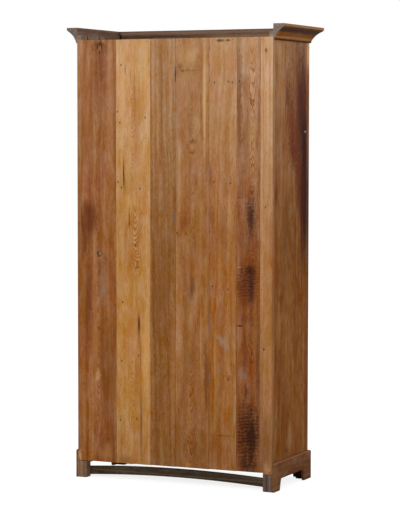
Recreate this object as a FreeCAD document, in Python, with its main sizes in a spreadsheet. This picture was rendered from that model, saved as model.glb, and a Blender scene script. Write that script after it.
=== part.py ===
import FreeCAD, Part
import math
import os
import Sketcher

# Tall two-door glazed cabinet in old solid wood: plank back, cove cornice, bracket plinth.
# Frame: X to the right as seen from the front, Y from the front to the back, Z up.
# The origin is the middle of the overall box on the floor.

doc = FreeCAD.newDocument("glazed_cabinet")
sheet = doc.addObject("Spreadsheet::Sheet", "sizes")

SIZES = [
    ("total_height", 2000), ("carcase_width", 939), ("carcase_depth", 411),
    ("cornice_projection", 51.5), ("cornice_height", 68), ("cornice_stand", 56),
    ("cornice_fillet", 13), ("cornice_quirk", 5.5), ("cornice_quirk_drop", 3),
    ("cornice_lip", 6), ("cornice_lip_height", 5), ("cove_radius", 85), ("cornice_corner_radius", 8),
    ("cornice_wear", 2),
    ("side_thickness", 20), ("board_thickness", 12), ("post_width", 42), ("post_thickness", 20),
    ("post_rebate", 25), ("post_wear", 3), ("shelf_thickness", 20), ("housing_depth", 6),
    ("tongue_length", 5), ("tongue_thickness", 4), ("seam_gap", 0.5),
    ("back_bottom_low", 76), ("back_bottom_high", 82), ("chip_width", 8), ("chip_height", 9),
    ("fit_gap", 0.3),
    ("frame_thickness", 25), ("stile_width", 50), ("top_rail_height", 56), ("floor_level", 140),
    ("frame_tenon_length", 20), ("tenon_thickness", 8), ("tenon_shoulder", 10),
    ("door_gap", 3), ("door_stile_width", 58), ("door_top_rail", 60), ("door_bottom_rail", 92),
    ("door_tenon_length", 40), ("bar_width", 20), ("bar_tenon_length", 8),
    ("bar_tenon_height", 12), ("door_chamfer", 6), ("glass_rebate", 8), ("glass_setback", 11),
    ("glass_thickness", 3), ("glass_play", 1), ("cut_overrun", 2),
    ("shelf_setback", 50), ("cleat_height", 22), ("cleat_thickness", 20), ("cleat_inset", 30),
    ("shelf_nosing", 4), ("stop_length", 200), ("stop_thickness", 12), ("stop_drop", 8),
    ("stop_height", 40), ("plinth_height", 124.5), ("plinth_front_thickness", 15),
    ("plinth_side_thickness", 10), ("plinth_ease", 4), ("cutout_height", 50), ("cutout_slope", 14),
    ("cutout_corner", 10), ("rear_toe", 66), ("front_toe", 82), ("bracket_toe", 78),
    ("foot_height", 74), ("foot_width", 42), ("foot_depth", 38), ("foot_chamfer", 3),
    ("stretcher_height", 36.5), ("stretcher_thickness", 18), ("stretcher_end_left", 11),
    ("stretcher_end_right", 7), ("stretcher_crown", 26), ("stretcher_inset", 12),
    ("glue_block_width", 18), ("glue_block_height", 23),
    ("strip_height", 20), ("strip_thickness", 18), ("nail_size", 3.2), ("nail_length", 38),
    ("nail_edge", 20), ("nail_proud", 0.4),
    ("hinge_height", 64), ("hinge_inset", 150), ("leaf_thickness", 1.3), ("leaf_width", 22),
    ("knuckle_radius", 4.5), ("knuckle_gap", 0.3), ("knuckle_end", 3), ("pin_radius", 2),
    ("running_gap", 0.05),
    ("knob_radius", 11), ("knob_projection", 26), ("knob_head", 10), ("knob_bevel", 1.4),
    ("knob_foot", 7.5), ("knob_foot_height", 2.5), ("knob_neck", 5), ("knob_stem", 3),
    ("knob_stem_length", 16), ("knob_height", 1090),
    ("lock_height", 1000), ("lock_case_width", 50), ("lock_case_depth", 12), ("lock_wall", 1.6),
    ("lock_drop", 20), ("lock_edge", 2), ("bolt_rise", 6.3), ("bolt_height", 14),
    ("bolt_length", 42), ("bolt_throw", 12), ("talon_width", 5), ("talon_depth", 2.3),
    ("keeper_width", 16), ("key_offset", 28), ("key_shank", 3), ("key_bit_reach", 8),
    ("key_bit_width", 3), ("key_bit_length", 6), ("key_bow_radius", 11), ("key_bow_hole", 6.5),
    ("key_bow_thickness", 3.4), ("key_bow_lap", 3), ("key_projection", 42),
    ("keyhole_gap", 0.6), ("plate_thickness", 1.2), ("plate_width", 20), ("plate_height", 40),
    ("slide_bar_width", 10), ("slide_bar_thickness", 6), ("slide_bar_length", 140),
    ("slide_offset", 30), ("slide_inset", 6), ("slide_knob_radius", 5),
    ("slide_knob_length", 10), ("slide_plate_width", 28), ("slide_plate_length", 120),
    ("slide_plate_thickness", 1.5), ("guide_wall", 2), ("guide_length", 10),
]
for row, (alias, value) in enumerate(SIZES, start=1):
    sheet.set("A%d" % row, alias)
    sheet.set("B%d" % row, str(value))
    sheet.setAlias("B%d" % row, alias)
doc.recompute()


def size(name):
    return "sizes." + name


def number(expression):
    return float(sheet.evalExpression(expression))


# Lines that many pieces share, as expressions of the sheet's sizes
HALF = "sizes.carcase_width / 2"
INNER = "(sizes.carcase_width / 2 - sizes.side_thickness)"
BACK = "(sizes.carcase_depth + sizes.cornice_projection) / 2"
FRONT = "(sizes.cornice_projection - sizes.carcase_depth) / 2"
FRAME_BACK = "(%s + sizes.frame_thickness)" % FRONT
BOARD_FACE = "(%s - sizes.board_thickness)" % BACK
POST_FACE = "(%s - sizes.post_thickness)" % BACK
TOP = "(sizes.total_height - sizes.cornice_stand)"
CORNICE_BOTTOM = "(sizes.total_height - sizes.cornice_height)"
OPENING_X = "(sizes.carcase_width / 2 - sizes.stile_width)"
DOOR_LOW = "(sizes.floor_level + sizes.door_gap)"
DOOR_HIGH = "(%s - sizes.top_rail_height - sizes.door_gap)" % TOP
SIGHT_LOW = "(%s + sizes.door_bottom_rail)" % DOOR_LOW
SIGHT_HIGH = "(%s - sizes.door_top_rail)" % DOOR_HIGH
TOE_FRONT = "(%s - sizes.plinth_front_thickness)" % FRONT
PLINTH_OUT = "(sizes.carcase_width / 2 + sizes.plinth_side_thickness)"

LIGHTS = 5
SHELVES = LIGHTS - 1
KEY_LEAN = 45
PLATE_ROUND_SHARE = 0.625
PLATE_SHOULDER_SHARE = 0.25
PLANE = {"XY": "XY_Plane", "XZ": "XZ_Plane", "YZ": "YZ_Plane"}
parts = {}


def keep(label, piece):
    """Give a finished piece its own name and list it for export."""
    piece.Label = label
    parts[label] = piece
    return piece


def place(piece, x, y, z):
    for axis, value in (("x", x), ("y", y), ("z", z)):
        piece.setExpression("Placement.Base." + axis, value)


def slab(name, x0, x1, y0, y1, z0, z1):
    """A plain sawn block between six faces."""
    block = doc.addObject("Part::Box", name)
    block.setExpression("Length", "(%s) - (%s)" % (x1, x0))
    block.setExpression("Width", "(%s) - (%s)" % (y1, y0))
    block.setExpression("Height", "(%s) - (%s)" % (z1, z0))
    place(block, x0, y0, z0)
    return block


TURNS = {
    "z": FreeCAD.Rotation(),
    "y": FreeCAD.Rotation(FreeCAD.Vector(1, 0, 0), -90),
    "x": FreeCAD.Rotation(FreeCAD.Vector(0, 1, 0), 90),
}


def rod(name, radius, length, x, y, z, along="z"):
    """A round bar that starts at a point and runs along an axis."""
    bar = doc.addObject("Part::Cylinder", name)
    bar.setExpression("Radius", radius)
    bar.setExpression("Height", length)
    bar.Placement = FreeCAD.Placement(FreeCAD.Vector(), TURNS[along])
    place(bar, x, y, z)
    return bar


def fuse(name, pieces):
    joined = doc.addObject("Part::MultiFuse", name)
    joined.Shapes = pieces
    return joined


def group(name, pieces):
    """Separate solids of one kind that share a node."""
    bundle = doc.addObject("Part::Compound", name)
    bundle.Links = pieces
    return bundle


def cut(name, base, tools):
    tool = tools[0] if len(tools) == 1 else fuse(name + "_tools", tools)
    result = doc.addObject("Part::Cut", name)
    result.Base = base
    result.Tool = tool
    return result


def new_sketch(body, name, plane, offset=None):
    sketch = body.newObject("Sketcher::SketchObject", name)
    for feature in body.Origin.OriginFeatures:
        if feature.Role == PLANE[plane]:
            sketch.AttachmentSupport = [(feature, "")]
    sketch.MapMode = "FlatFace"
    if offset:
        sketch.setExpression("AttachmentOffset.Base.z", offset)
    return sketch


def pin_point(sketch, edge, end, point):
    """Tie one end of an edge to its place from the sketch's origin."""
    for kind, expression in zip(("DistanceX", "DistanceY"), point):
        value = number(expression)
        index = sketch.addConstraint(Sketcher.Constraint(kind, -1, 1, edge, end, value))
        sketch.setExpression("Constraints[%d]" % index, expression)


def outline(sketch, points, arcs=None):
    """A closed profile. arcs maps an edge to (radius, side); side 1 puts its centre on the left."""
    arcs = arcs or {}
    flat = [FreeCAD.Vector(number(a), number(b), 0) for a, b in points]
    count = len(points)
    ends = []
    for index in range(count):
        first, last = flat[index], flat[(index + 1) % count]
        if index not in arcs:
            sketch.addGeometry(Part.LineSegment(first, last), False)
            ends.append((1, 2))
            continue
        radius = number(arcs[index][0])
        side = arcs[index][1]
        chord = last - first
        middle = (first + last) / 2
        rise = math.sqrt(radius ** 2 - (chord.Length / 2) ** 2)
        normal = FreeCAD.Vector(-chord.y, chord.x, 0).normalize()
        centre = middle + normal * rise * side
        begin, finish = (first, last) if side > 0 else (last, first)
        angles = [math.atan2(p.y - centre.y, p.x - centre.x) for p in (begin, finish)]
        circle = Part.Circle(centre, FreeCAD.Vector(0, 0, 1), radius)
        sketch.addGeometry(Part.ArcOfCircle(circle, angles[0], angles[1]), False)
        ends.append((1, 2) if side > 0 else (2, 1))
    for index in range(count):
        after = (index + 1) % count
        sketch.addConstraint(
            Sketcher.Constraint("Coincident", index, ends[index][1], after, ends[after][0]))
        pin_point(sketch, index, ends[index][0], points[index])
    for index, (radius, side) in arcs.items():
        limit = sketch.addConstraint(Sketcher.Constraint("Radius", index, number(radius)))
        sketch.setExpression("Constraints[%d]" % limit, radius)


def padded(name, plane, points, length, arcs=None, offset=None):
    """A body whose first feature is one profile pushed out to a length."""
    body = doc.addObject("PartDesign::Body", name)
    sketch = new_sketch(body, name + "_profile", plane, offset)
    outline(sketch, points, arcs)
    pad = body.newObject("PartDesign::Pad", name + "_pad")
    pad.Profile = sketch
    pad.setExpression("Length", length)
    doc.recompute()
    return body


def pocket(body, name, plane, points, arcs=None):
    """Cut a profile through the whole of a body, both ways from its plane."""
    before = body.Shape.Volume
    sketch = new_sketch(body, name, plane)
    outline(sketch, points, arcs)
    cutter = body.newObject("PartDesign::Pocket", name + "_pocket")
    cutter.Profile = sketch
    cutter.Type = "ThroughAll"
    cutter.Midplane = True
    doc.recompute()
    if body.Shape.Volume >= before:
        raise RuntimeError(name + " removed nothing")


AXES = {"x": FreeCAD.Vector(1, 0, 0), "y": FreeCAD.Vector(0, 1, 0)}


def dress(body, kind, name, value, test, along="xy"):
    """Fillet or chamfer the straight edges along an axis whose two ends pass a test."""
    base = body.Tip
    chosen = []
    for index, edge in enumerate(base.Shape.Edges, start=1):
        if len(edge.Vertexes) != 2 or not all(test(v.Point) for v in edge.Vertexes):
            continue
        run = (edge.Vertexes[1].Point - edge.Vertexes[0].Point).normalize()
        if any(abs(run.dot(AXES[axis])) > 0.999 for axis in along):
            chosen.append("Edge%d" % index)
    if not chosen:
        raise RuntimeError(name + " found no edge")
    feature = body.newObject("PartDesign::" + kind, name)
    feature.Base = (base, chosen)
    feature.setExpression("Radius" if kind == "Fillet" else "Size", value)
    doc.recompute()


def near(value, expression):
    return abs(value - number(expression)) < 1e-4


def across(sign, inner, outer):
    """The x range of a piece that stands at one side of the middle plane."""
    return (inner, outer) if sign > 0 else ("-(%s)" % outer, "-(%s)" % inner)


SIDES = (("left", -1), ("right", 1))
LOW_BOARD = "(sizes.floor_level - sizes.shelf_thickness)"
TOP_BOARD = "(%s - sizes.shelf_thickness)" % TOP
POST_INNER = "(sizes.carcase_width / 2 - sizes.post_width)"
SHELF_FRONT = "(%s + sizes.shelf_setback)" % FRONT
LIGHT = "((%s - %s - %d * sizes.bar_width) / %d)" % (SIGHT_HIGH, SIGHT_LOW, LIGHTS - 1, LIGHTS)


def light_low(index):
    return "(%s + %d * (%s + sizes.bar_width))" % (SIGHT_LOW, index, LIGHT)


def shelf_low(index):
    return "(%s - sizes.bar_width / 2 - sizes.shelf_thickness / 2)" % light_low(index + 1)


# Side panels, housed for the top and bottom boards
for side, sign in SIDES:
    x0, x1 = across(sign, INNER, HALF)
    panel = slab("side_%s_board" % side, x0, x1, FRAME_BACK, POST_FACE, size("foot_height"), TOP)
    h0, h1 = across(sign, INNER, "%s + sizes.housing_depth" % INNER)
    housings = [
        slab("side_%s_low_housing" % side, h0, h1, FRAME_BACK, POST_FACE, LOW_BOARD,
             size("floor_level")),
        slab("side_%s_top_housing" % side, h0, h1, FRAME_BACK, POST_FACE, TOP_BOARD, TOP),
    ]
    keep("side_panel_" + side, cut("side_%s" % side, panel, housings))

# Rear corner posts; the right one is rebated to take the first back board
for side, sign in SIDES:
    x0, x1 = across(sign, POST_INNER, HALF)
    post = padded("post_%s_stock" % side, "XY",
                  [(x0, POST_FACE), (x1, POST_FACE), (x1, BACK), (x0, BACK)],
                  "%s - sizes.foot_height" % TOP, offset=size("foot_height"))
    dress(post, "Chamfer", "post_%s_wear" % side, size("post_wear"),
          lambda p: near(p.z, "sizes.foot_height") and near(p.y, BACK), along="x")
    if side == "right":
        rebate = slab("post_rebate", x0, "%s + sizes.post_rebate" % x0, BOARD_FACE,
                      "%s + sizes.cut_overrun" % BACK, size("foot_height"), TOP)
        post = cut("post_right", post, [rebate])
    keep("rear_post_" + side, post)


def notched_board(name, half_width, y_front, z_low):
    """A board that runs between the sides and is cut round the rear posts."""
    wide, narrow = half_width, POST_INNER
    points = [("-(%s)" % wide, y_front), (wide, y_front), (wide, POST_FACE), (narrow, POST_FACE),
              (narrow, BOARD_FACE), ("-" + narrow, BOARD_FACE), ("-" + narrow, POST_FACE),
              ("-(%s)" % wide, POST_FACE)]
    return padded(name, "XY", points, size("shelf_thickness"), offset=z_low)


HOUSED = "(%s + sizes.housing_depth)" % INNER
SLIDE_X = "-(sizes.door_gap / 2 + sizes.slide_offset)"
PLATE_FACE = "(%s + sizes.slide_plate_thickness)" % FRAME_BACK
BAR_FRONT = "(%s + sizes.fit_gap)" % PLATE_FACE
BAR_BACK = "(%s + sizes.slide_bar_thickness)" % BAR_FRONT


def slide_way(name, low, high):
    """The square hole that the flat bar of a slide bolt runs in."""
    half = "(sizes.slide_bar_width / 2 + sizes.fit_gap)"
    return slab(name, "%s - %s" % (SLIDE_X, half), "%s + %s" % (SLIDE_X, half), PLATE_FACE,
                "%s + sizes.fit_gap" % BAR_BACK, "%s - sizes.cut_overrun" % low,
                "%s + sizes.cut_overrun" % high)


keep("top_board", notched_board("top_body", HOUSED, FRAME_BACK, TOP_BOARD))
floor_board = notched_board("floor_body", HOUSED, FRAME_BACK, LOW_BOARD)
keep("bottom_board", cut("floor_cut", floor_board,
                         [slide_way("floor_mortise", LOW_BOARD, size("floor_level"))]))

# Shelves with an eased front edge, and the cleats under their ends
cleats = []
for index in range(SHELVES):
    shelf = notched_board("shelf_%d_body" % (index + 1), INNER, SHELF_FRONT, shelf_low(index))
    dress(shelf, "Fillet", "shelf_%d_nosing" % (index + 1), size("shelf_nosing"),
          lambda p: near(p.y, SHELF_FRONT), along="x")
    keep("shelf_%d" % (index + 1), shelf)
    for side, sign in SIDES:
        x0, x1 = across(sign, "%s - sizes.cleat_thickness" % INNER, INNER)
        cleats.append(slab("cleat_%d_%s" % (index + 1, side), x0, x1,
                           "%s + sizes.cleat_inset" % SHELF_FRONT, POST_FACE,
                           "%s - sizes.cleat_height" % shelf_low(index), shelf_low(index)))
keep("shelf_cleats", group("cleats", cleats))

# Back boards, tongued and grooved; the shares are the seams, from the right post to the left
SEAM_SHARES = (0, 0.1994, 0.3909, 0.5290, 0.7097, 0.8585, 0.9818, 1)
BACK_START = "(%s + sizes.post_rebate)" % POST_INNER
BACK_WIDTH = "(%s + %s)" % (BACK_START, POST_INNER)
BACK_RISE = "(sizes.back_bottom_high - sizes.back_bottom_low)"
MIDDLE = "(%s - sizes.board_thickness / 2)" % BACK
TONGUE = ("(%s - sizes.tongue_thickness / 2)" % MIDDLE,
          "(%s + sizes.tongue_thickness / 2)" % MIDDLE)


def seam(index):
    return "(%s - %s * %s)" % (BACK_START, SEAM_SHARES[index], BACK_WIDTH)


boards = len(SEAM_SHARES) - 1
CHIPPED = 2
nails = []
nail_rows = ["%s + sizes.shelf_thickness / 2" % low
             for low in [LOW_BOARD] + [shelf_low(k) for k in range(SHELVES)] + [TOP_BOARD]]
for index in range(boards):
    first, last = index == 0, index == boards - 1
    label = "back_strip" if last else "back_board_%d" % (index + 1)
    high = seam(index)
    low = seam(index + 1) if last else "(%s + sizes.seam_gap)" % seam(index + 1)
    points = [(low, BOARD_FACE), (high, BOARD_FACE)]
    if not first:
        groove = "(%s - sizes.tongue_length - sizes.fit_gap)" % high
        points += [(high, TONGUE[0]), (groove, TONGUE[0]), (groove, TONGUE[1]), (high, TONGUE[1])]
    points += [(high, BACK), (low, BACK)]
    if not last:
        tip = "(%s - sizes.tongue_length)" % seam(index + 1)
        points += [(low, TONGUE[1]), (tip, TONGUE[1]), (tip, TONGUE[0]), (low, TONGUE[0])]
    share = (SEAM_SHARES[index] + SEAM_SHARES[index + 1]) / 2
    bottom = "(sizes.back_bottom_low + %s * %s)" % (share, BACK_RISE)
    board = padded(label + "_body", "XY", points, "%s - %s" % (TOP, bottom), offset=bottom)
    if index == CHIPPED:
        chip = padded("corner_chip", "XZ",
                      [("%s - sizes.chip_width" % high, "%s - sizes.cut_overrun" % bottom),
                       ("%s + sizes.cut_overrun" % high, "%s - sizes.cut_overrun" % bottom),
                       ("%s + sizes.cut_overrun" % high, "%s + sizes.chip_height" % bottom)],
                      "sizes.board_thickness + 2 * sizes.cut_overrun",
                      offset="-(%s + sizes.cut_overrun)" % BACK)
        board = cut(label + "_chipped", board, [chip])
    keep(label, board)
    places = ["(%s + %s) / 2" % (low, high)] if last else [
        "%s + sizes.nail_edge" % low, "%s - sizes.nail_edge" % high]
    for row, level in enumerate(nail_rows):
        for place_index, x in enumerate(places):
            nails.append(slab("nail_%d_%d_%d" % (index, row, place_index),
                              "%s - sizes.nail_size / 2" % x, "%s + sizes.nail_size / 2" % x,
                              "%s + sizes.nail_proud - sizes.nail_length" % BACK,
                              "%s + sizes.nail_proud" % BACK,
                              "%s - sizes.nail_size / 2" % level,
                              "%s + sizes.nail_size / 2" % level))
keep("back_nails", group("nails", nails))


def tenon(name, x0, x1, z0, z1):
    """The tongue of a rail, centred in the thickness of the frame."""
    core = "(%s + sizes.frame_thickness / 2)" % FRONT
    return slab(name, x0, x1, "%s - sizes.tenon_thickness / 2" % core,
                "%s + sizes.tenon_thickness / 2" % core,
                "%s + sizes.tenon_shoulder" % z0, "%s - sizes.tenon_shoulder" % z1)


# Face frame: two stiles mortised for two rails
RAILS = (("top", "(%s - sizes.top_rail_height)" % TOP, TOP),
         ("bottom", size("foot_height"), size("floor_level")))
TENON_END = "(%s + sizes.frame_tenon_length)" % OPENING_X
for side, sign in SIDES:
    x0, x1 = across(sign, OPENING_X, HALF)
    t0, t1 = across(sign, OPENING_X, TENON_END)
    stile = slab("frame_%s_stock" % side, x0, x1, FRONT, FRAME_BACK, size("foot_height"), TOP)
    mortises = [tenon("frame_%s_%s_mortise" % (side, rail), t0, t1, z0, z1)
                for rail, z0, z1 in RAILS]
    keep("frame_stile_" + side, cut("frame_%s" % side, stile, mortises))
for rail, z0, z1 in RAILS:
    bar = slab("frame_%s_bar" % rail, "-" + OPENING_X, OPENING_X, FRONT, FRAME_BACK, z0, z1)
    tongue = tenon("frame_%s_tenon" % rail, "-" + TENON_END, TENON_END, z0, z1)
    keep("frame_%s_rail" % rail, fuse("frame_%s" % rail, [bar, tongue]))

# Strips behind the top rail that the doors close against
stops = []
DOOR_CENTRE = "(%s / 2)" % OPENING_X
for side, sign in SIDES:
    x0, x1 = across(sign, "(%s - sizes.stop_length / 2)" % DOOR_CENTRE,
                    "(%s + sizes.stop_length / 2)" % DOOR_CENTRE)
    z0 = "(%s - sizes.top_rail_height - sizes.stop_drop)" % TOP
    stops.append(slab("stop_" + side, x0, x1, FRAME_BACK,
                      "%s + sizes.stop_thickness" % FRAME_BACK, z0,
                      "%s + sizes.stop_height" % z0))
keep("door_stops", group("stops", stops))

# Plinth: three boards with bracket cut-outs, mitred at the front corners
SIDE_TOES = ("(%s + sizes.front_toe)" % TOE_FRONT, "(%s - sizes.rear_toe)" % BACK)
FRONT_TOE = "(%s - sizes.bracket_toe)" % PLINTH_OUT


def bracket_outline(start, toe_start, toe_end, end):
    """The face of a plinth board: full along the top, cut away between its two toes."""
    return [(start, "0"), (toe_start, "0"),
            ("(%s + sizes.cutout_slope)" % toe_start, size("cutout_height")),
            ("(%s - sizes.cutout_slope)" % toe_end, size("cutout_height")),
            (toe_end, "0"), (end, "0"), (end, size("plinth_height")),
            (start, size("plinth_height"))]


def ease_plinth(body, outer, through, run):
    """Round the cut-out's corners, through the board, and bevel the top edge along its run."""
    dress(body, "Fillet", body.Name + "_corners", size("cutout_corner"),
          lambda p: near(p.z, size("cutout_height")), along=through)
    dress(body, "Chamfer", body.Name + "_top", size("plinth_ease"),
          lambda p: near(p.z, size("plinth_height")) and outer(p), along=run)


for side, sign in SIDES:
    x0, x1 = across(sign, HALF, PLINTH_OUT)
    face = x1 if sign > 0 else x0
    board = padded("plinth_%s_body" % side, "YZ",
                   bracket_outline(TOE_FRONT, SIDE_TOES[0], SIDE_TOES[1], BACK),
                   size("plinth_side_thickness"), offset=x0)
    ease_plinth(board, lambda p: near(p.x, face), "x", "y")
    inner_x, outer_x = (HALF, PLINTH_OUT) if sign > 0 else ("-(%s)" % HALF, "-" + PLINTH_OUT)
    pocket(board, "plinth_%s_mitre" % side, "XY",
           [(inner_x, FRONT), (outer_x, TOE_FRONT), (inner_x, TOE_FRONT)])
    keep("plinth_" + side, board)
front_board = padded("plinth_front_body", "XZ",
                     bracket_outline("-" + PLINTH_OUT, "-" + FRONT_TOE, FRONT_TOE, PLINTH_OUT),
                     size("plinth_front_thickness"), offset="-(%s)" % FRONT)
ease_plinth(front_board, lambda p: near(p.y, TOE_FRONT), "y", "x")
for side, sign in SIDES:
    inner_x, outer_x = (HALF, PLINTH_OUT) if sign > 0 else ("-(%s)" % HALF, "-" + PLINTH_OUT)
    pocket(front_board, "plinth_front_%s_mitre" % side, "XY",
           [(inner_x, FRONT), (outer_x, TOE_FRONT), (outer_x, FRONT)])
keep("plinth_front", front_board)

# Foot blocks in the four corners, with worn lower edges
feet = []
for side, sign in SIDES:
    for end, y0, y1 in (("rear", "(%s - sizes.foot_depth)" % BACK, BACK),
                        ("front", FRONT, "(%s + sizes.foot_depth)" % FRONT)):
        x0, x1 = across(sign, "(sizes.carcase_width / 2 - sizes.foot_width)", HALF)
        foot = padded("foot_%s_%s" % (end, side), "XY", [(x0, y0), (x1, y0), (x1, y1), (x0, y1)],
                      size("foot_height"))
        dress(foot, "Chamfer", "foot_%s_%s_wear" % (end, side), size("foot_chamfer"),
              lambda p: near(p.z, "0"))
        feet.append(foot)
keep("foot_blocks", group("feet", feet))

# The arched stretcher, fixed to the front faces of the rear foot blocks
STRETCHER_X = "(sizes.carcase_width / 2 - sizes.stretcher_inset)"
STRETCHER_ENDS = "((sizes.stretcher_end_left + sizes.stretcher_end_right) / 2)"
STRETCHER_RISE = "(sizes.stretcher_crown - %s)" % STRETCHER_ENDS
STRETCHER_RADIUS = "((%s ^ 2 + %s ^ 2) / (2 * %s))" % (STRETCHER_X, STRETCHER_RISE, STRETCHER_RISE)
stretcher = padded(
    "stretcher_body", "XZ",
    [("-" + STRETCHER_X, size("stretcher_end_left")), (STRETCHER_X, size("stretcher_end_right")),
     (STRETCHER_X, "sizes.stretcher_end_right + sizes.stretcher_height"),
     ("-" + STRETCHER_X, "sizes.stretcher_end_left + sizes.stretcher_height")],
    size("stretcher_thickness"), arcs={0: (STRETCHER_RADIUS, -1), 2: (STRETCHER_RADIUS, 1)},
    offset="-(%s - sizes.foot_depth)" % BACK)
keep("rear_stretcher", stretcher)

# Cornice: a lip, a shallow cove and a fillet, mitred at the front corners
CORNICE_OUT = "(sizes.carcase_width / 2 + sizes.cornice_projection)"
CORNICE_FRONT = "(%s - sizes.cornice_projection)" % FRONT
COVE_OUT = "(sizes.cornice_projection - sizes.cornice_quirk)"
FILLET_LOW = "(sizes.total_height - sizes.cornice_fillet)"
CORNICE_STEPS = (
    ("0", CORNICE_BOTTOM), (size("cornice_lip"), CORNICE_BOTTOM),
    (size("cornice_lip"), "(%s + sizes.cornice_lip_height)" % CORNICE_BOTTOM),
    (COVE_OUT, "(%s - sizes.cornice_quirk_drop)" % FILLET_LOW), (COVE_OUT, FILLET_LOW),
    (size("cornice_projection"), FILLET_LOW),
    (size("cornice_projection"), size("total_height")), ("0", size("total_height")),
)
COVE_INDEX = 2


def cornice(name, plane, base, sign, length, offset, face, run):
    """A length of the moulding; sign is the way that it projects in the sketch."""
    way = "+" if sign > 0 else "-"
    points = [("(%s) %s %s" % (base, way, out), z) for out, z in CORNICE_STEPS]
    body = padded(name + "_body", plane, points, length,
                  arcs={COVE_INDEX: (size("cove_radius"), -sign)}, offset=offset)
    dress(body, "Fillet", name + "_wear", size("cornice_wear"),
          lambda p: face(p) and (near(p.z, size("total_height")) or near(p.z, FILLET_LOW)),
          along=run)
    return body


def round_corner(body, name, sign):
    """Round the outer corner where two lengths meet, worn by handling."""
    out, way = ("(%s)" % CORNICE_OUT, "-") if sign > 0 else ("(-%s)" % CORNICE_OUT, "+")
    inset_x = "%s %s sizes.cornice_corner_radius" % (out, way)
    inset_y = "%s + sizes.cornice_corner_radius" % CORNICE_FRONT
    pocket(body, name, "XY", [(out, CORNICE_FRONT), (out, inset_y), (inset_x, CORNICE_FRONT)],
           {1: (size("cornice_corner_radius"), -sign)})


for side, sign in SIDES:
    inner_x, outer_x = (HALF, CORNICE_OUT) if sign > 0 else ("-(%s)" % HALF, "-" + CORNICE_OUT)
    moulding = cornice("cornice_" + side, "XZ", inner_x, sign,
                       "sizes.carcase_depth + sizes.cornice_projection", "-(%s)" % BACK,
                       lambda p: near(p.x, outer_x), "y")
    pocket(moulding, "cornice_%s_mitre" % side, "XY",
           [(inner_x, FRONT), (outer_x, CORNICE_FRONT), (inner_x, CORNICE_FRONT)])
    round_corner(moulding, "cornice_%s_corner" % side, sign)
    keep("cornice_" + side, moulding)
moulding = cornice("cornice_front", "YZ", FRONT, -1,
                   "sizes.carcase_width + 2 * sizes.cornice_projection", "-" + CORNICE_OUT,
                   lambda p: near(p.y, CORNICE_FRONT), "x")
for side, sign in SIDES:
    inner_x, outer_x = (HALF, CORNICE_OUT) if sign > 0 else ("-(%s)" % HALF, "-" + CORNICE_OUT)
    pocket(moulding, "cornice_front_%s_mitre" % side, "XY",
           [(inner_x, FRONT), (outer_x, CORNICE_FRONT), (outer_x, FRONT)])
    round_corner(moulding, "cornice_front_%s_corner" % side, sign)
keep("cornice_front", moulding)

# Glue blocks behind the cornice; the shares run from the back along the depth
BLOCK_SHARES = ((0, 0.144), (0.173, 0.421), (0.445, 0.562))
BLOCK_X = "(sizes.carcase_width / 2 - sizes.glue_block_width)"
blocks = [slab("front_strip", "-" + BLOCK_X, BLOCK_X, FRONT, "%s + sizes.strip_thickness" % FRONT,
               TOP, "%s + sizes.strip_height" % TOP)]
for side, sign in SIDES:
    x0, x1 = across(sign, BLOCK_X, HALF)
    for index, (near_share, far_share) in enumerate(BLOCK_SHARES):
        blocks.append(slab("glue_%s_%d" % (side, index), x0, x1,
                           "%s - %s * sizes.carcase_depth" % (BACK, far_share),
                           "%s - %s * sizes.carcase_depth" % (BACK, near_share),
                           TOP, "%s + sizes.glue_block_height" % TOP))
keep("cornice_blocks", group("glue_blocks", blocks))

# Doors: each has two stiles, two rails and four bars, chamfered in front and rebated behind
SET_BACK = "(%s + sizes.glass_setback)" % FRONT
GLASS_BACK = "(%s + sizes.glass_thickness)" % SET_BACK
DOOR_OUT = "(%s - sizes.door_gap)" % OPENING_X
MEETING = "(sizes.door_gap / 2)"
KEY_X = "(%s + sizes.key_offset)" % MEETING
LOCK_Z = size("lock_height")
KNOB_X = "(%s + sizes.door_stile_width / 2)" % MEETING


def keyhole(name):
    """A round hole for the key's shank and a slot below it for the bit."""
    start, end = "%s - 2 * sizes.cut_overrun" % FRONT, "%s + sizes.cut_overrun" % FRAME_BACK
    hole = rod(name + "_round", "sizes.key_shank + sizes.keyhole_gap",
               "(%s) - (%s)" % (end, start), KEY_X, start, LOCK_Z, along="y")
    half = "(sizes.key_bit_width / 2 + sizes.keyhole_gap)"
    slot = slab(name + "_slot", "%s - %s" % (KEY_X, half), "%s + %s" % (KEY_X, half), start, end,
                "%s - sizes.key_bit_reach - sizes.keyhole_gap" % LOCK_Z, LOCK_Z)
    return [hole, slot]


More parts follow.
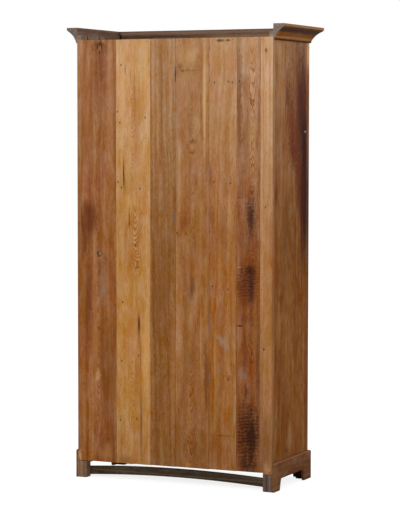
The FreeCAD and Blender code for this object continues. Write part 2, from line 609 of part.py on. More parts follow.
for side, sign in SIDES:
    door = side + "_door"
    x0, x1 = across(sign, MEETING, DOOR_OUT)
    s0, s1 = across(sign, "(%s + sizes.door_stile_width)" % MEETING,
                    "(%s - sizes.door_stile_width)" % DOOR_OUT)
    cutters, panes, beads = [], [], []
    for index in range(LIGHTS):
        z0 = light_low(index)
        z1 = "(%s + %s)" % (z0, LIGHT)
        name = "%s_light_%d" % (door, index + 1)
        bevel = doc.addObject("Part::Wedge", name + "_bevel")
        wide = "(sizes.door_chamfer + sizes.cut_overrun)"
        for prop, value in (
                ("Xmin", "%s - %s" % (s0, wide)), ("Xmax", "%s + %s" % (s1, wide)),
                ("Zmin", "%s - %s" % (z0, wide)), ("Zmax", "%s + %s" % (z1, wide)),
                ("Ymin", "%s - sizes.cut_overrun" % FRONT),
                ("Ymax", "%s + sizes.door_chamfer" % FRONT),
                ("X2min", s0), ("X2max", s1), ("Z2min", z0), ("Z2max", z1)):
            bevel.setExpression(prop, value)
        edge = size("glass_rebate")
        r0, r1 = "%s - %s" % (s0, edge), "%s + %s" % (s1, edge)
        b0, b1 = "%s - %s" % (z0, edge), "%s + %s" % (z1, edge)
        rebate = slab(name + "_rebate", r0, r1, SET_BACK, "%s + sizes.cut_overrun" % FRAME_BACK,
                      b0, b1)
        cutters += [bevel, rebate]
        play = size("glass_play")
        panes.append(slab(name + "_pane", "%s + %s" % (r0, play), "%s - %s" % (r1, play),
                          SET_BACK, GLASS_BACK, b0, "%s - %s" % (b1, play)))
        for part, (a0, a1, c0, c1) in (("low", (r0, r1, b0, z0)), ("high", (r0, r1, z1, b1)),
                                       ("left", (r0, s0, z0, z1)), ("right", (s1, r1, z0, z1))):
            beads.append(slab("%s_bead_%s" % (name, part), a0, a1, GLASS_BACK, FRAME_BACK, c0, c1))
    openings = fuse(door + "_openings", cutters)

    rails, sockets = [], []
    for rail, z0, z1 in (("top", SIGHT_HIGH, DOOR_HIGH), ("bottom", DOOR_LOW, SIGHT_LOW)):
        t0, t1 = "%s - sizes.door_tenon_length" % s0, "%s + sizes.door_tenon_length" % s1
        name = "%s_%s" % (door, rail)
        bar = slab(name + "_bar", s0, s1, FRONT, FRAME_BACK, z0, z1)
        tongue = tenon(name + "_tenon", t0, t1, z0, z1)
        sockets.append(tongue)
        rails.append(cut(name + "_cut", fuse(name + "_whole", [bar, tongue]), [openings]))
    keep(door + "_rails", group(door + "_rail_pair", rails))
    bars = []
    for index in range(LIGHTS - 1):
        z0 = "(%s + %s)" % (light_low(index), LIGHT)
        z1 = "(%s + sizes.bar_width)" % z0
        middle = "(%s + sizes.bar_width / 2)" % z0
        name = "%s_bar_%d" % (door, index + 1)
        bar = slab(name + "_stock", s0, s1, FRONT, FRAME_BACK, z0, z1)
        tongue = slab(name + "_tenon", "%s - sizes.bar_tenon_length" % s0,
                      "%s + sizes.bar_tenon_length" % s1, "%s + sizes.door_chamfer" % FRONT,
                      SET_BACK, "%s - sizes.bar_tenon_height / 2" % middle,
                      "%s + sizes.bar_tenon_height / 2" % middle)
        sockets.append(tongue)
        bars.append(cut(name, fuse(name + "_whole", [bar, tongue]), [openings]))
    keep(door + "_bars", group(door + "_bar_group", bars))
    keep(door + "_glass", group(door + "_panes", panes))
    keep(door + "_beads", group(door + "_bead_group", beads))

    hinge_x = across(sign, "(%s - sizes.door_stile_width)" % DOOR_OUT, DOOR_OUT)
    meeting_x = across(sign, MEETING, "(%s + sizes.door_stile_width)" % MEETING)
    fittings = []
    if side == "right":
        stem_hole = rod("knob_stem_hole", "sizes.knob_stem + sizes.running_gap",
                        "sizes.knob_stem_length + 2 * sizes.cut_overrun", KNOB_X,
                        "%s - sizes.cut_overrun" % FRONT, size("knob_height"), along="y")
        fittings = [stem_hole] + keyhole("door_keyhole")
    hinge_stile = slab(door + "_hinge_stock", hinge_x[0], hinge_x[1], FRONT, FRAME_BACK,
                       DOOR_LOW, DOOR_HIGH)
    keep(door + "_hinge_stile", cut(door + "_hinge_cut", hinge_stile, [openings] + sockets))
    meeting_stile = slab(door + "_meeting_stock", meeting_x[0], meeting_x[1], FRONT, FRAME_BACK,
                         DOOR_LOW, DOOR_HIGH)
    keep(door + "_meeting_stile",
         cut(door + "_meeting_cut", meeting_stile, [openings] + sockets + fittings))

# The turned knob on the right door, its stem in the meeting stile
knob = doc.addObject("PartDesign::Body", "knob_body")
KNOB_HEAD = "(sizes.knob_projection - sizes.knob_head)"
knob_profile = new_sketch(knob, "knob_profile", "YZ")
outline(knob_profile, [
    (size("knob_stem_length"), "0"), (size("knob_stem_length"), size("knob_stem")),
    ("0", size("knob_stem")), ("0", size("knob_foot")),
    ("-(sizes.knob_foot_height)", size("knob_foot")),
    ("-(sizes.knob_foot_height)", size("knob_neck")),
    ("-" + KNOB_HEAD, size("knob_neck")), ("-" + KNOB_HEAD, size("knob_radius")),
    ("-(sizes.knob_projection - sizes.knob_bevel)", size("knob_radius")),
    ("-(sizes.knob_projection)", "(sizes.knob_radius - sizes.knob_bevel)"),
    ("-(sizes.knob_projection)", "0")])
knob_turn = knob.newObject("PartDesign::Revolution", "knob_turn")
knob_turn.Profile = knob_profile
knob_turn.ReferenceAxis = (knob_profile, ["H_Axis"])
knob_turn.Angle = 360
doc.recompute()
place(knob, KNOB_X, FRONT, size("knob_height"))
keep("right_door_knob", knob)

# Lift-off hinges: the lower knuckle and its pin stay on the frame, the upper lifts with the door
KNUCKLE_Y = "(%s - sizes.knuckle_radius - sizes.knuckle_gap)" % FRONT
HINGE_LOWS = ("(%s + sizes.hinge_inset)" % DOOR_LOW,
              "((%s + %s - sizes.hinge_height) / 2)" % (DOOR_LOW, DOOR_HIGH),
              "(%s - sizes.hinge_inset - sizes.hinge_height)" % DOOR_HIGH)
HINGE_X = "(%s - sizes.door_gap / 2)" % OPENING_X


def leaf(name, sign, inner, outer, low, wrap_low, wrap_high):
    """A plate between door and stile, wrapped round the pin along half of its height."""
    x0, x1 = across(sign, inner, outer)
    axis_x = "%d * %s" % (sign, HINGE_X)
    plate = slab(name + "_plate", x0, x1, FRONT, "%s + sizes.leaf_width" % FRONT, low,
                 "%s + sizes.hinge_height" % low)
    tab = slab(name + "_tab", x0, x1, KNUCKLE_Y, FRONT, wrap_low, wrap_high)
    knuckle = rod(name + "_knuckle", size("knuckle_radius"), "(%s) - (%s)" % (wrap_high, wrap_low),
                  axis_x, KNUCKLE_Y, wrap_low)
    bore = rod(name + "_bore", "sizes.pin_radius + sizes.running_gap",
               "sizes.hinge_height - 2 * sizes.knuckle_end", axis_x, KNUCKLE_Y,
               "%s + sizes.knuckle_end" % low)
    return cut(name, fuse(name + "_whole", [plate, tab, knuckle]), [bore])


frame_leaves, pins = [], []
for side, sign in SIDES:
    door_leaves = []
    for index, low in enumerate(HINGE_LOWS):
        name = "hinge_%s_%d" % (side, index)
        middle = "(%s + sizes.hinge_height / 2)" % low
        high = "(%s + sizes.hinge_height)" % low
        frame_leaves.append(leaf(
            name + "_frame", sign, "(%s - sizes.leaf_thickness)" % OPENING_X, OPENING_X, low,
            low, middle))
        door_leaves.append(leaf(
            name + "_door", sign, DOOR_OUT, "(%s + sizes.leaf_thickness)" % DOOR_OUT, low,
            "(%s + sizes.knuckle_gap)" % middle, high))
        pins.append(rod(name + "_pin", size("pin_radius"),
                        "sizes.hinge_height - 2 * sizes.knuckle_end - sizes.fit_gap",
                        "%d * %s" % (sign, HINGE_X), KNUCKLE_Y, "%s + sizes.knuckle_end" % low))
    keep("%s_hinge_leaves" % side, group("hinge_%s_leaves" % side, door_leaves))
keep("frame_hinge_leaves", group("hinge_frame_leaves", frame_leaves))
keep("hinge_pins", group("hinge_pin_group", pins))

# Cupboard lock on the inside of the right door, its keeper on the left door
CASE_LOW = "(%s + sizes.lock_edge)" % MEETING
CASE_HIGH = "(%s + sizes.lock_case_width)" % CASE_LOW
CASE_BACK = "(%s + sizes.lock_case_depth)" % FRAME_BACK
COVER = "(%s - sizes.lock_wall)" % CASE_BACK
BOLT_LOW = "(%s + sizes.bolt_rise)" % LOCK_Z
BOLT_HIGH = "(%s + sizes.bolt_height)" % BOLT_LOW
GUARD_HIGH = "(%s + sizes.fit_gap)" % BOLT_HIGH
CASE_FLOOR = "(%s - sizes.lock_drop)" % LOCK_Z
UNDER_WOOD = "(%s - sizes.cut_overrun)" % FRAME_BACK

case = slab("lock_shell", CASE_LOW, CASE_HIGH, FRAME_BACK, CASE_BACK, CASE_FLOOR,
            "%s + sizes.lock_wall" % GUARD_HIGH)
hollow = slab("lock_hollow", "%s + sizes.lock_wall" % CASE_LOW, "%s - sizes.lock_wall" % CASE_HIGH,
              UNDER_WOOD, COVER, "%s + sizes.lock_wall" % CASE_FLOOR, GUARD_HIGH)
mouth = slab("lock_mouth", "%s - sizes.cut_overrun" % CASE_LOW,
             "%s + sizes.lock_wall + sizes.cut_overrun" % CASE_LOW, UNDER_WOOD, COVER,
             "%s - sizes.fit_gap" % BOLT_LOW, GUARD_HIGH)
keep("lock_case", cut("lock_case_cut", case, [hollow, mouth]))

bolt = slab("lock_bar", CASE_LOW, "%s + sizes.bolt_length" % CASE_LOW,
            "%s + sizes.fit_gap" % FRAME_BACK, "%s - sizes.fit_gap" % COVER, BOLT_LOW, BOLT_HIGH)
TALON_X = "(%s + sizes.bolt_throw / 2)" % KEY_X
talon = slab("lock_talon", "%s - sizes.talon_width / 2" % TALON_X,
             "%s + sizes.talon_width / 2" % TALON_X, UNDER_WOOD,
             "%s + sizes.cut_overrun" % CASE_BACK,
             "%s - sizes.cut_overrun" % BOLT_LOW, "%s + sizes.talon_depth" % BOLT_LOW)
keep("lock_bolt", cut("lock_bolt_cut", bolt, [talon]))

KEEPER_OUT = "(%s + sizes.keeper_width)" % CASE_LOW
k0, k1 = across(-1, CASE_LOW, KEEPER_OUT)
staple = slab("keeper_shell", k0, k1, FRAME_BACK, CASE_BACK,
              "%s - sizes.fit_gap - sizes.lock_wall" % BOLT_LOW,
              "%s + sizes.lock_wall" % GUARD_HIGH)
catch = slab("keeper_hollow", "%s + sizes.lock_wall" % k0, "%s + sizes.cut_overrun" % k1,
             UNDER_WOOD, COVER, "%s - sizes.fit_gap" % BOLT_LOW, GUARD_HIGH)
keep("lock_keeper", cut("keeper_cut", staple, [catch]))

# The key, drawn upright about its own axis and then leant to meet the bolt's notch
KEY_OUT = "(%s - sizes.key_projection)" % FRONT
KEY_TIP = "(%s - sizes.fit_gap)" % COVER
BOW_Y = "(%s + sizes.key_bow_radius)" % KEY_OUT
SHANK_Y = "(%s + 2 * sizes.key_bow_radius - sizes.key_bow_lap)" % KEY_OUT
BIT_HALF = "(sizes.key_bit_width / 2)"
BIT_START = "(%s + sizes.cut_overrun)" % FRAME_BACK
BOW_HALF = "(sizes.key_bow_thickness / 2)"
shank = rod("key_shank_bar", size("key_shank"), "(%s) - (%s)" % (KEY_TIP, SHANK_Y), "0", SHANK_Y,
            "0", along="y")
bit = slab("key_bit", "-" + BIT_HALF, BIT_HALF, BIT_START,
           "%s + sizes.key_bit_length" % BIT_START, "0", size("key_bit_reach"))
bow = rod("key_bow", size("key_bow_radius"), size("key_bow_thickness"), "-" + BOW_HALF, BOW_Y,
          "0", along="x")
ring_hole = rod("key_bow_hole_cut", size("key_bow_hole"),
                "sizes.key_bow_thickness + 2 * sizes.cut_overrun",
                "-%s - sizes.cut_overrun" % BOW_HALF, BOW_Y, "0", along="x")
key = cut("key_cut", fuse("key_whole", [shank, bit, bow]), [ring_hole])
key.Placement = FreeCAD.Placement(
    FreeCAD.Vector(), FreeCAD.Rotation(FreeCAD.Vector(0, 1, 0), KEY_LEAN))
place(key, KEY_X, "0", LOCK_Z)
keep("key", key)

# Keyhole plate: a small shield with rounded ends
PLATE_HALF = "(sizes.plate_width / 2)"
PLATE_END = "(sizes.plate_height / 2 - %s * sizes.plate_width)" % PLATE_SHOULDER_SHARE
PLATE_ROUND = "(%s * sizes.plate_width)" % PLATE_ROUND_SHARE
PLATE_Z = "(%s - sizes.key_shank)" % LOCK_Z
plate = padded("keyhole_plate_body", "XZ",
               [("%s - %s" % (KEY_X, PLATE_HALF), "%s - %s" % (PLATE_Z, PLATE_END)),
                ("%s + %s" % (KEY_X, PLATE_HALF), "%s - %s" % (PLATE_Z, PLATE_END)),
                ("%s + %s" % (KEY_X, PLATE_HALF), "%s + %s" % (PLATE_Z, PLATE_END)),
                ("%s - %s" % (KEY_X, PLATE_HALF), "%s + %s" % (PLATE_Z, PLATE_END))],
               size("plate_thickness"),
               arcs={0: (PLATE_ROUND, 1), 2: (PLATE_ROUND, 1)},
               offset="-(%s)" % FRONT)
keep("keyhole_plate", cut("keyhole_plate_cut", plate, keyhole("plate_keyhole")))

# Slide bolts inside the left door, up into a keeper and down into the bottom board
GUIDE_BACK = "(%s + sizes.fit_gap + sizes.guide_wall)" % BAR_BACK
GUIDE_HALF = "(sizes.slide_bar_width / 2 + sizes.fit_gap + sizes.guide_wall)"
SLIDES = (("top", "(%s - sizes.slide_inset - sizes.slide_plate_length)" % DOOR_HIGH,
           "(%s - sizes.door_gap - sizes.slide_bar_length)" % DOOR_HIGH),
          ("bottom", "(%s + sizes.slide_inset)" % DOOR_LOW, "(%s + sizes.door_gap)" % DOOR_LOW))


def centred(name, half, y0, y1, z0, z1):
    """A block on the middle line of the slide bolts."""
    return slab(name, "%s - %s" % (SLIDE_X, half), "%s + %s" % (SLIDE_X, half), y0, y1, z0, z1)


slide_plates = []
for end, plate_low, bar_low in SLIDES:
    plate_high = "(%s + sizes.slide_plate_length)" % plate_low
    solids = [centred(end + "_slide_back", "sizes.slide_plate_width / 2", FRAME_BACK, PLATE_FACE,
                      plate_low, plate_high)]
    for index, low in enumerate((plate_low, "(%s - sizes.guide_length)" % plate_high)):
        solids.append(centred("%s_guide_%d" % (end, index), GUIDE_HALF, PLATE_FACE, GUIDE_BACK,
                              low, "%s + sizes.guide_length" % low))
    slide_plates.append(cut(end + "_slide", fuse(end + "_slide_whole", solids),
                            [slide_way(end + "_slide_way", plate_low, plate_high)]))
    bar = centred(end + "_bar", "sizes.slide_bar_width / 2", BAR_FRONT, BAR_BACK, bar_low,
                  "%s + sizes.slide_bar_length" % bar_low)
    grip = rod(end + "_grip", size("slide_knob_radius"), size("slide_knob_length"), SLIDE_X,
               BAR_BACK, "%s + sizes.slide_plate_length / 2" % plate_low, along="y")
    keep(end + "_bolt", fuse(end + "_bolt_whole", [bar, grip]))
keep("bolt_plates", group("slide_plates", slide_plates))
KEEPER_Z = "(%s + sizes.door_gap)" % DOOR_HIGH
KEEPER_TOP = "(%s + sizes.guide_length)" % KEEPER_Z
block = centred("keeper_block", GUIDE_HALF, FRAME_BACK, GUIDE_BACK, KEEPER_Z, KEEPER_TOP)
keep("top_bolt_keeper", cut("bolt_keeper_cut", block,
                            [slide_way("keeper_way", KEEPER_Z, KEEPER_TOP)]))

# Check every object and piece, then write the pieces
doc.recompute()
for item in doc.Objects:
    if any(word in item.State for word in ("Invalid", "Error")):
        raise RuntimeError("%s failed: %s" % (item.Name, item.State))
os.makedirs("parts", exist_ok=True)
for label, piece in parts.items():
    if piece.Shape.isNull() or not piece.Shape.isValid():
        raise RuntimeError(label + " has no valid shape")
for label, piece in parts.items():
    piece.Shape.exportStep("parts/%s.step" % label)
print("pieces:", len(parts), "solids:", sum(len(p.Shape.Solids) for p in parts.values()))
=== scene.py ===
from functools import partial
import math

import bpy
from mathutils import Matrix, Vector


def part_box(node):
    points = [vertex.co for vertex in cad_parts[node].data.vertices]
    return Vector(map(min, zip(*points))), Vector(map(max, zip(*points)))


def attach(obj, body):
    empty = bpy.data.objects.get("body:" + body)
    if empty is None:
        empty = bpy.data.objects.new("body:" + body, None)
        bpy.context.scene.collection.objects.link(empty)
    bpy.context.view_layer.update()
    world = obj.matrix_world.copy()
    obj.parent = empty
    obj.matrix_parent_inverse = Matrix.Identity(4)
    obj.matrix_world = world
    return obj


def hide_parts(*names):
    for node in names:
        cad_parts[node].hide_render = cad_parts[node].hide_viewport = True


bl_info = {
    "name": "Old plank cabinet",
    "version": (1, 0, 0),
    "blender": (4, 5, 0),
    "location": "3D View > Sidebar > Cabinet",
    "description": "Woods, metals, glass, turned knob, screws and stage of an old glazed cabinet",
    "category": "Object",
}

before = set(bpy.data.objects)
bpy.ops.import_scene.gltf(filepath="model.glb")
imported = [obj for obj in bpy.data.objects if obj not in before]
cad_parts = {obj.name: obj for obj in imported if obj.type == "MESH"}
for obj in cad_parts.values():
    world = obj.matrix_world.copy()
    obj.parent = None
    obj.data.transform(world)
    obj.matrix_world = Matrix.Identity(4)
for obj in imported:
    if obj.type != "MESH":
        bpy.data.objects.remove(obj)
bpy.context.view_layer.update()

MM = 0.001


def linear(hex_colour):
    """An sRGB hex colour as the linear red, green and blue that shaders read."""
    parts = [int(hex_colour[i:i + 2], 16) / 255 for i in (1, 3, 5)]
    return [c / 12.92 if c <= 0.04045 else ((c + 0.055) / 1.055) ** 2.4 for c in parts]


def plug(node, inputs):
    """Sets a node's inputs, by order or by name, to links, numbers, vectors or hex colours."""
    for key, value in inputs.items() if isinstance(inputs, dict) else enumerate(inputs):
        if isinstance(value, bpy.types.NodeSocket):
            node.id_data.links.new(value, node.inputs[key])
        else:
            node.inputs[key].default_value = [*linear(value), 1] if isinstance(value, str) else value


# what the word after a node's kind sets, where it isn't the operation
MODES = {"MapRange": "interpolation_type", "Mix": "data_type", "TexNoise": "noise_dimensions"}


def add_node(tree, kind, inputs=(), **settings):
    """Adds one node with its settings and links, and returns its only output or all of them."""
    kind, *mode = kind.split()
    node = tree.nodes.new(kind if kind.startswith("Node") else "ShaderNode" + kind)
    if mode:
        settings[MODES.get(kind, "operation")] = mode[0]
    for key, value in settings.items():
        setattr(node, key, value)
    plug(node, inputs)
    shown = [output for output in node.outputs if output.enabled]
    return shown[0] if len(shown) == 1 else node.outputs


def new_group(name, outputs, **inputs):
    """A node group with its outputs and inputs named by kind, what adds to it and what it gets."""
    tree = bpy.data.node_groups.new(name, "ShaderNodeTree")
    for way, kinds in (("INPUT", inputs), ("OUTPUT", outputs)):
        for kind, labels in kinds.items():
            for label in labels.split(", "):
                tree.interface.new_socket(label, in_out=way, socket_type="NodeSocket" + kind)
    add = partial(add_node, tree)
    return tree, add, add("NodeGroupInput")


def new_material(name):
    """A material, what adds nodes to it, and its shader."""
    material = bpy.data.materials.new(name)
    material.use_nodes = True
    tree = material.node_tree
    return material, partial(add_node, tree), tree.nodes["Principled BSDF"]


def mottle(add, place, size, detail=3, roughness=0.5, output=0):
    """Noise in patches of a real size, in millimetres across, through and along the wood."""
    place = add("VectorMath MULTIPLY", [place, [1 / step for step in size]])
    return add("TexNoise", {"Vector": place, "Scale": 1, "Detail": detail,
                            "Roughness": roughness})[output]


def from_centre(add, given):
    """The way from a pattern's centre, in millimetres and as a share of the pattern's reach."""
    step = add("VectorMath SUBTRACT", [given["Place"], given["Centre"]])
    return step, add("VectorMath DIVIDE", [step, given["Reach"]])


# growth rings are about 3 mm wide and come in runs of wide and narrow years, 11 mm each
RING, YEARS = 3, 11
# layers of tone, each with its size across, through and along, detail and roughness: streaks from
# 24 mm down to 3 mm wide, patches of worn-in dirt and old finish, and fibre, which is really about
# 0.3 mm wide and is drawn in bundles of 4 mm by 30 mm, so that it shows
LAYERS = {"Streak": ((24, 24, 600), 3, 0.6), "Blotch": ((38, 38, 90), 5, 0.65),
          "Fibre": ((4, 4, 30), 4, 0.7)}
GRAIN = ("Lean", "Wander", "Ripple", "Figure", *LAYERS)


def growth_group():
    """Growth rings, streaks and fibre of sawn wood, in millimetres across, deep and along."""
    tree, add, given = new_group(
        "Growth rings and fibre", dict(Color="Colour", Float="Relief"), Vector="Place, Seed",
        Color="Colour", Float=", ".join(("Pith across", "Pith deep", *GRAIN)))
    place = add("VectorMath ADD", [given["Place"], given["Seed"]])
    # the trunk's own sway bends the rings every 150 mm across and 380 mm along
    sway = mottle(add, place, (150, 150, 380), 2, output="Color")
    sway = add("VectorMath SUBTRACT", [sway, (0.5, 0.5, 0.5)])
    sway = add("VectorMath SCALE", {0: sway, "Scale": given["Wander"]})
    swayed = add("VectorMath ADD", [given["Place"], sway])
    # each ring is wavy too, every 16 mm across and 30 mm along
    wave = mottle(add, place, (16, 16, 30), 2, output="Color")
    wave = add("VectorMath SCALE", {0: wave, "Scale": given["Ripple"]})
    across, through, along = add("SeparateXYZ", [add("VectorMath ADD", [swayed, wave])])
    across = add("Math SUBTRACT", [across, given["Pith across"]])
    deep = add("Math MULTIPLY_ADD", [along, given["Lean"], given["Pith deep"]])
    deep = add("Math ADD", [deep, through])
    radius = add("VectorMath LENGTH", [add("CombineXYZ", [across, deep])])
    late = add("Math SINE", [add("Math MULTIPLY", [radius, 2 * math.pi / RING])])
    years = add("TexNoise 1D", {"W": add("Math MULTIPLY", [radius, 1 / YEARS]), "Scale": 1,
                                "Detail": 3, "Roughness": 0.6})[0]
    figure = add("Math MULTIPLY_ADD", [years, 4.4, -2.2])
    tones = {"Figure": add("Math MULTIPLY_ADD", [late, 0.22, figure])}
    noise = {layer: mottle(add, place, *settings) for layer, settings in LAYERS.items()}
    for layer in LAYERS:
        tones[layer] = add("Math MULTIPLY_ADD", [noise[layer], 4, -2])
    # pores, dark dashes really 0.2 mm by 5 mm, are drawn 2 mm by 17 mm for the same reason
    pores = add("MapRange", [mottle(add, place, (2.2, 2.2, 17), 1), 0.56, 0.74, 0, 2.2])
    tones["Fibre"] = add("Math ADD", [tones["Fibre"], pores])
    power = 1
    for layer, tone in tones.items():
        power = add("Math MULTIPLY_ADD", [tone, given[layer], power])
    colour = add("Gamma", [given["Colour"], add("Clamp", [power, 0.4, 2])])
    # the wood goes from reddish to yellowish and back every 55 mm across and 260 mm along
    drift = mottle(add, place, (55, 55, 260), 4, 0.6)
    hue = add("MapRange", [drift, 0.3, 0.7, 0.493, 0.507])
    strong = add("MapRange", [tones["Blotch"], -1, 1, 0.9, 1.1])
    colour = add("HueSaturation", {"Color": colour, "Hue": hue, "Saturation": strong})
    # the torn fibre stands up, and the late wood lies a little lower
    relief = add("Math MULTIPLY_ADD", [late, -0.15, noise["Fibre"]])
    add("NodeGroupOutput", {"Colour": colour, "Relief": relief})
    return tree


def stain_group():
    """One soft or ragged mark laid over a colour, in millimetres."""
    tree, add, given = new_group(
        "Mark on wood", dict(Color="Colour"), Vector="Place, Centre, Reach",
        Color="Colour, Stain", Float="Strength, Ragged, Core")
    # a mark whose raggedness isn't given has an edge of full tongues and specks
    tree.interface.items_tree["Ragged"].default_value = 1
    distance = add("VectorMath LENGTH", [from_centre(add, given)[1]])
    # the edge runs along the fibre in tongues about 12 mm wide and breaks up into specks of 9 mm
    rough = mottle(add, given["Place"], (12, 12, 70))
    rough = add("Math ADD", [rough, mottle(add, given["Place"], (9, 9, 14))])
    rough = add("Math SUBTRACT", [rough, 1])
    distance = add("Math MULTIPLY_ADD", [rough, given["Ragged"], distance])
    share = add("MapRange SMOOTHSTEP", [distance, 1.35, given["Core"], 0, given["Strength"]])
    colour = add("Mix RGBA", {0: share, 6: given["Colour"], 7: given["Stain"]})
    add("NodeGroupOutput", {"Colour": colour})
    return tree


def saw_group():
    """Dark teeth marks of a saw across the grain, kept to one place."""
    tree, add, given = new_group(
        "Saw marks", dict(Color="Colour"), Vector="Place, Centre, Reach", Color="Colour, Stain",
        Float="Strength, Pitch")
    step, share = from_centre(add, given)
    across, _, along = add("SeparateXYZ", [step])
    distance = add("VectorMath LENGTH", [share])
    rough = mottle(add, given["Place"], (24, 1, 22))
    broken = mottle(add, given["Place"], (11, 1, 8))
    distance = add("Math MULTIPLY_ADD", [broken, 1.6, distance])
    share = add("MapRange SMOOTHSTEP", [distance, 1.8, 1.1, 0, 1])
    # the marks slope and wander a little every 22 mm, because the blade was pushed by hand
    slope = add("Math MULTIPLY_ADD", [across, 0.12, along])
    slope = add("Math MULTIPLY_ADD", [rough, 26, slope])
    turn = add("Math DIVIDE", [slope, given["Pitch"]])
    tooth = add("Math SINE", [add("Math MULTIPLY", [turn, 2 * math.pi])])
    tooth = add("MapRange SMOOTHSTEP", [tooth, -0.8, 0.6, 0.1, 1])
    # and each mark is broken every 11 mm or so, where the fibre tore
    broken = add("MapRange", [broken, 0.36, 0.6, 0.25, 1])
    share = add("Math MULTIPLY", [share, add("Math MULTIPLY", [tooth, broken])])
    share = add("Math MULTIPLY", [share, given["Strength"]])
    colour = add("Mix RGBA", {0: share, 6: given["Colour"], 7: given["Stain"]})
    add("NodeGroupOutput", {"Colour": colour})
    return tree


def knot_group():
    """Bends the place that rings are read at: they flow round a knot, or swell into an eye."""
    tree, add, given = new_group("Grain round a knot", dict(Vector="Place"),
                                 Vector="Place, Centre, Reach", Float="Push, Dip")
    step = from_centre(add, given)[1]
    square = add("VectorMath DOT_PRODUCT", [step, step])
    fall = add("Math POWER", [math.e ** -1, square])
    push = add("Math MULTIPLY", [add("SeparateXYZ", [step])[0], fall])
    push = add("Math MULTIPLY", [push, given["Push"]])
    dip = add("Math MULTIPLY", [fall, given["Dip"]])
    moved = add("VectorMath SUBTRACT", [given["Place"], add("CombineXYZ", [push, dip])])
    add("NodeGroupOutput", {"Place": moved})
    return tree


def arch_group():
    """Nested arches of a board sawn near the edge of the trunk, kept to one place."""
    tree, add, given = new_group(
        "Cathedral arches", dict(Color="Colour"), Vector="Place, Centre, Reach", Color="Colour",
        Float="Curve, Pitch, Strength")
    step, share = from_centre(add, given)
    across, _, along = add("SeparateXYZ", [step])
    bow = add("Math DIVIDE", [add("Math MULTIPLY", [across, across]), given["Curve"]])
    bow = add("Math DIVIDE", [add("Math SUBTRACT", [along, bow]), given["Pitch"]])
    # the arches waver by about one pitch every 14 mm
    bow = add("Math MULTIPLY_ADD", [mottle(add, given["Place"], (14, 14, 24)), 1.3, bow])
    # and lean and crowd every 30 mm across and 90 mm along, so that no two look alike
    bow = add("Math MULTIPLY_ADD", [mottle(add, given["Place"], (30, 30, 90), 1), 4, bow])
    # thin dark lines, some of them stronger than others
    years = add("TexNoise 1D", {"W": bow, "Scale": 0.8, "Detail": 2})[0]
    years = add("MapRange", [years, 0.3, 0.7, 0.1, 1.6])
    line = add("Math SINE", [add("Math MULTIPLY", [bow, 2 * math.pi])])
    line = add("MapRange SMOOTHSTEP", [line, 0.1, 1, -0.12, 1])
    years = add("Math MULTIPLY", [years, line])
    distance = add("VectorMath LENGTH", [share])
    share = add("MapRange SMOOTHSTEP", [distance, 1, 0.5, 0, given["Strength"]])
    power = add("Math MULTIPLY_ADD", [years, share, 1])
    colour = add("Gamma", [given["Colour"], add("Clamp", [power, 0.5, 2.2])])
    add("NodeGroupOutput", {"Colour": colour})
    return tree


def edge_group():
    """Painted shade in the open seams at the two long edges of a board."""
    tree, add, given = new_group("Painted shade in the seams", dict(Color="Colour"), Vector="Place",
                                 Color="Colour, Dirt", Float="Low, High")
    across = add("SeparateXYZ", [given["Place"]])[0]
    low = add("Math SUBTRACT", [across, given["Low"]])
    high = add("Math SUBTRACT", [given["High"], across])
    inset = add("Math MINIMUM", [low, high])
    # the painted shade comes and goes every 90 mm and is up to 3 mm wide
    width = add("MapRange", [mottle(add, given["Place"], (8, 8, 90)), 0.35, 0.7, 0.6, 3])
    share = add("MapRange SMOOTHSTEP", [inset, width, 0, 0, 0.5])
    colour = add("Mix RGBA", {0: share, 6: given["Colour"], 7: given["Dirt"]})
    add("NodeGroupOutput", {"Colour": colour})
    return tree


# a dark tint, for the painted shade in the seams and the darkening towards the floor, and a pale tint,
# for the painted light from above
DARK_TINT, TOP_LIGHT_TINT = "#4A2E1E", "#E6C29C"
# between these heights in millimetres the painted light from above grows upwards, and the darkening
# grows downwards towards the floor
LIT_FROM_ABOVE, DARKER_BELOW = (900, 1950), (420, 90)
# a mark goes right through its board, and each board is read this far from the next in the noise
THROUGH, APART = 1e5, (37, 11, 1900)
# the node groups, each by what it draws
PATTERNS = {}
# the look of a plain board: what a board's own look doesn't say
PLAIN = dict(pith=(90, 60), lean=0.02, wander=30, ripple=2, figure=0.1, streak=0.14, blotch=0.1,
             fibre=0.11, bleach=0.0, foot_darkening=0.0, edges=None, knots=(), arches=(), marks=(),
             saws=())
# what follows a pattern's place and size in its table
SPOTS = {"arches": ("Curve", "Pitch", "Strength"),
         "marks": ("Stain", "Strength", "Ragged", "Core"),
         "saws": ("Stain", "Strength", "Pitch")}


